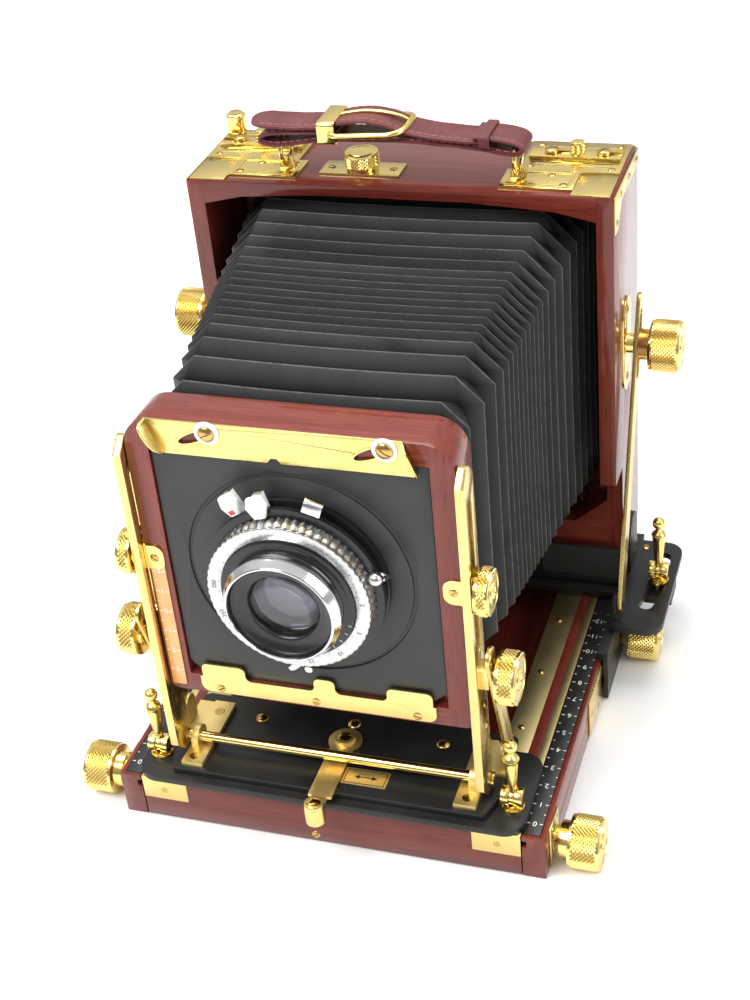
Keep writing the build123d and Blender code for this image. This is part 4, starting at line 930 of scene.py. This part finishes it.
for path, thick, start in ((OVER, OVER_THICK, 6), (UNDER, UNDER_THICK, 3)):
    lengths = arc_lengths(path)
    at = start
    while at < lengths[-1] - 2:
        k = min(max(i for i, length in enumerate(lengths) if length <= at), len(path) - 2)
        u = (at - lengths[k]) / (lengths[k + 1] - lengths[k])
        here, ahead = Vector((path[k][0], 0, path[k][1])), Vector((path[k + 1][0], 0, path[k + 1][1]))
        along = (ahead - here).normalized()
        out = Vector((-along.z, 0, along.x)) * math.copysign(thick / 2 * 0.93, along.x)
        for v in (-SEAM, SEAM):
            middle = here.lerp(ahead, u) + out + Vector((0, STRAP_Y + v + strap_waver(at), 0))
            thread.add(*tube([middle - along * STITCH_HALF, middle, middle + along * STITCH_HALF], 0.24, 6))
        at += STITCH_PITCH
thread.piece("strap_stitching", "handle", STITCH, angle=60)

buckle = Shape()
sleeve = ring_plate(rounded_outline(19.2, 9.2, 1.6), rounded_outline(17.6, 7.6, 1.0), 7.0)
buckle.add(*sleeve, facing(-29.0, STRAP_Y, 224.9, (1, 0, 0)))
frame_wire = [(x - 10.6, y + STRAP_Y, 224.3 + 0.0495 * (x + 15.5) + 1.2 * max(0.0, (x - 6) / 10) ** 2)
              for x, y in rounded_outline(31.0, 20.5, 6.0, steps=5)]
buckle.add(*tube(frame_wire, 1.25, 10, closed=True))
prong = [(x, STRAP_Y, z) for x, z in ((-22, 229.4), (-14, 230.9), (-6, 230.9), (1, 229.6), (4.6, 228.0))]
buckle.add(*tube(curve(prong, 5), 0.8, 10))
gilt(buckle, "strap_buckle", "handle", rounded=0.25, angle=40)
keeper = Shape()
loop = ring_plate(rounded_outline(17.4, 5.6, 1.4), rounded_outline(16.0, 4.2, 0.9), 4.2)
keeper.add(*loop, facing(33.2, STRAP_Y, 223.4, (1, 0, 0)))
keeper.piece("strap_keeper", "handle", STRAP, slot="strap_leather", rounded=0.4, angle=50)

# ---------------- fittings on the body
wings = Shape()
WING = ((0.0, 0.0), (0.05, 2.2), (0.16, 3.6), (0.35, 4.4), (0.65, 4.6), (0.85, 4.2), (0.96, 2.8), (1.0, 0.0))
for sign, foot, head in ((-1, (-43.0, 167.6), (-48.8, 180.3)), (1, (46.0, 167.6), (41.5, 180.3))):
    rows = [(foot[0] + (head[0] - foot[0]) * t, foot[1] + (head[1] - foot[1]) * t, out) for t, out in WING]
    verts = []
    for inset in (0.0, 0.85):
        verts += [(x - sign * inset, -87.5, z) for x, z, out in rows]
        verts += [(x - sign * inset + sign * 0.42 * out, -88.0 - out, z) for x, z, out in rows]
    n = len(rows)
    faces = []
    for i in range(n - 1):
        faces += [(i, i + 1, n + i + 1, n + i), (2 * n + i + 1, 2 * n + i, 3 * n + i, 3 * n + i + 1),
                  (n + i, n + i + 1, 3 * n + i + 1, 3 * n + i), (i + 1, i, 2 * n + i, 2 * n + i + 1)]
    faces += [(0, n, 3 * n, 2 * n), (n - 1, 3 * n - 1, 4 * n - 1, 2 * n - 1)]
    wings.add(verts, faces)
gilt(wings, "board_lock_wings", "board_lock", GOLD_LEVEL, rounded=0.2)
rims = Shape()
outer, inner = ([(a * math.cos(t), b * math.sin(t)) for t in (math.pi * i / 18 for i in range(36))]
                for a, b in ((7.6, 2.5), (6.9, 1.75)))
SLOT_SLANT = math.atan2(4.2, 10.0)
for x in (-30.6, 31.0):
    level = Matrix.Translation((x, -88.3, 175.0)) @ Matrix.Rotation(math.pi / 2, 4, "X")
    rims.add(*ring_plate(outer, inner, 0.16), level @ Matrix.Rotation(SLOT_SLANT, 4, "Z"))
gilt(rims, "lock_slot_rims", "board_lock")

wraps, frames, grooves = Shape(), Shape(), Shape()
for sign in ACROSS:
    outline = [(44.6, 205.6), (44.6, 191), (50.5, 191), (58, 199.5), (92.2, 199.5), (92.2, 205.6)]
    n = len(outline)
    wraps.add([(sign * x, y, z) for x in (84.0, 84.55) for y, z in outline], ends(2, n) + skin(2, n))
    wraps.bar((sign * 68, sign * 82.6), (44.4, 64), (206.0, 206.6))
    corner = ring_plate(rounded_outline(25, 13.5, 0.8), rounded_outline(23, 11.5, 0.5), 0.35)
    frames.add(*corner, Matrix.Translation((sign * 54, 56, PLATE_TOP)))
    for y in (69.3, 86.2):
        for x0, x1 in ((47, 60), (66, 79)):
            frames.bar((sign * x0, sign * x1), (y - 0.35, y + 0.35), (PLATE_TOP, 207.2))
    for y in ((71.2, 71.9), (84.1, 84.8)):
        for x0, x1 in ((47.5, 59), (67, 78.5)):
            grooves.bar((sign * x0, sign * x1), y, (PLATE_TOP, 207.06))
gilt(wraps, "box_corner_wraps", "rear_standard", GOLD_LEVEL, rounded=0.12)
gilt(frames, "top_plate_frames", "rear_standard", rounded=0.1)
grooves.piece("top_plate_grooves", "rear_standard", MATT_BLACK)
post = Shape()
post.add(*plate(rounded_outline(7.6, 5.8, 2.2), 8.6), Matrix.Translation((-79, 88, PLATE_TOP)))
gilt(post, "corner_post", "rear_standard", rounded=1.2, segments=4)
for sign, word in SIDES:
    nub = Shape()
    nub.add(*knurl(2.65, 208.8, 212.6, 14, 0.25), facing(sign * 64, 78, 0, UP))
    nub.add(*lathe([(2.65, 212.5), (2.2, 213.1), (0, 213.3)], 24), facing(sign * 64, 78, 0, UP))
    gilt(nub, f"latch_nub_{word}", f"latch_{word}", angle=25)
heads = Shape()
for sign in ACROSS:
    for x in (54, 74):
        heads.add(*screw_head(2.75, 0.6), facing(sign * x, 78, 209.65, UP, x * 3 + sign * 20))
    for y, z in ((48, 194.5), (56, 202.5), (72, 202.5), (88, 202.5)):
        heads.add(*screw_head(1.3, 0.35), facing(sign * 84.55, y, z, (sign, 0, 0), y * 9))
gilt(heads, "screws_latches", "rear_standard", SCREW, angle=38)

# ---------------- focusing back
GRID_PITCH, GRID_LINE, SCREEN_Z = 12, 0.09, 124
grid = Shape()
for at in range(-4 * GRID_PITCH, 5 * GRID_PITCH, GRID_PITCH):
    grid.bar((at - GRID_LINE, at + GRID_LINE), (92.62, 92.66), (64, 184))
    grid.bar((-62, 62), (92.62, 92.66), (SCREEN_Z + at - GRID_LINE, SCREEN_Z + at + GRID_LINE))
grid.piece("screen_grid", "focusing_back", MATT_BLACK)
springs = Shape()
for sign in ACROSS:
    verts = []
    for u in (k / 24 for k in range(25)):
        x, y, z = sign * 70, 99.0 + 2.6 * math.sin(math.pi * u), 62 + 124 * u
        verts += [(x - 3, y, z), (x + 3, y, z), (x + 3, y + 0.7, z), (x - 3, y + 0.7, z)]
    springs.add(verts, skin(25, 4) + ends(25, 4))
    for z in (60, 188):
        springs.add(*screw_head(2.4, 0.9), facing(sign * 70, 98.6, z, (0, 1, 0), z))
gilt(springs, "back_springs", "focusing_back", GOLD_BRUSHED, rounded=0.15)
rebate = Shape()
rebate.add(*ring_plate(rounded_outline(126.6, 126.6, 0.5), rounded_outline(124.4, 124.4, 0.4), 0.5),
           Matrix.Translation((0, 93.1, SCREEN_Z)) @ Matrix.Rotation(-math.pi / 2, 4, "X"))
rebate.piece("screen_retainer", "focusing_back", MATT_BLACK, rounded=0.1)

# ---------------- floor, camera and light, in metres
floor = bpy.data.meshes.new("floor")
floor.from_pydata([(-6, -6, 0), (6, -6, 0), (6, 6, 0), (-6, 6, 0)], [], [(0, 1, 2, 3)])
floor_object = bpy.data.objects.new("floor", floor)
SCENE.collection.objects.link(floor_object)
floor.materials.append(Paint("floor_white", base_color=(0.93, 0.93, 0.93), roughness=0.6).made)

lens = bpy.data.cameras.new("camera")
lens.sensor_width, lens.lens = 36.0, 61.46
lens.clip_start, lens.clip_end = 0.01, 30
camera = bpy.data.objects.new("camera", lens)
SCENE.collection.objects.link(camera)
right = Vector((0.9508, 0.2973, -0.0867))
up = Vector((-0.0986, 0.5562, 0.8252))
forward = Vector((-0.2936, 0.7761, -0.5581))
basis = Matrix((right, up, -forward)).transposed()
camera.matrix_world = Matrix.Translation((0.1938, -0.5203, 0.4677)) @ basis.to_4x4()
SCENE.camera = camera


def softbox(name, place, size, power):
    """Rectangular area light turned towards the middle of the camera."""
    data = bpy.data.lights.new(name, "AREA")
    data.shape = "RECTANGLE"
    data.size, data.size_y = size
    data.energy = power
    light = bpy.data.objects.new(name, data)
    SCENE.collection.objects.link(light)
    light.location = place
    light.rotation_mode = "QUATERNION"
    light.rotation_quaternion = (Vector((0, 0, 0.1)) - Vector(place)).to_track_quat("-Z", "Y")


softbox("key", (-0.55, -0.75, 1.15), (0.9, 0.7), 17)
softbox("fill", (1.1, -0.3, 0.8), (0.6, 0.9), 7)
softbox("top", (0.0, 0.35, 1.3), (1.0, 0.6), 9)
# surroundings that darken towards the floor and towards the front
SCENE.world = bpy.data.worlds.new("studio")
SCENE.world.use_nodes = True
sky = Nodes(SCENE.world.node_tree)
where = sky.add("ShaderNodeTexCoord").outputs["Generated"]
parts = sky.add("ShaderNodeSeparateXYZ", {0: where}).outputs
by_height = sky.ramp(parts[2], [(0.0, 0.62), (0.25, 0.66), (0.5, 0.9), (0.75, 1.0)])
by_side = sky.ramp(sky.math("MULTIPLY_ADD", parts[1], 0.5, 0.5), [(0.12, 0.5), (0.5, 0.95)])
background = sky.tree.nodes["Background"]
sky.put(sky.mix(1.0, by_height, by_side, "MULTIPLY"), background.inputs[0])
background.inputs[1].default_value = 0.95
SCENE.view_settings.view_transform = "Standard"
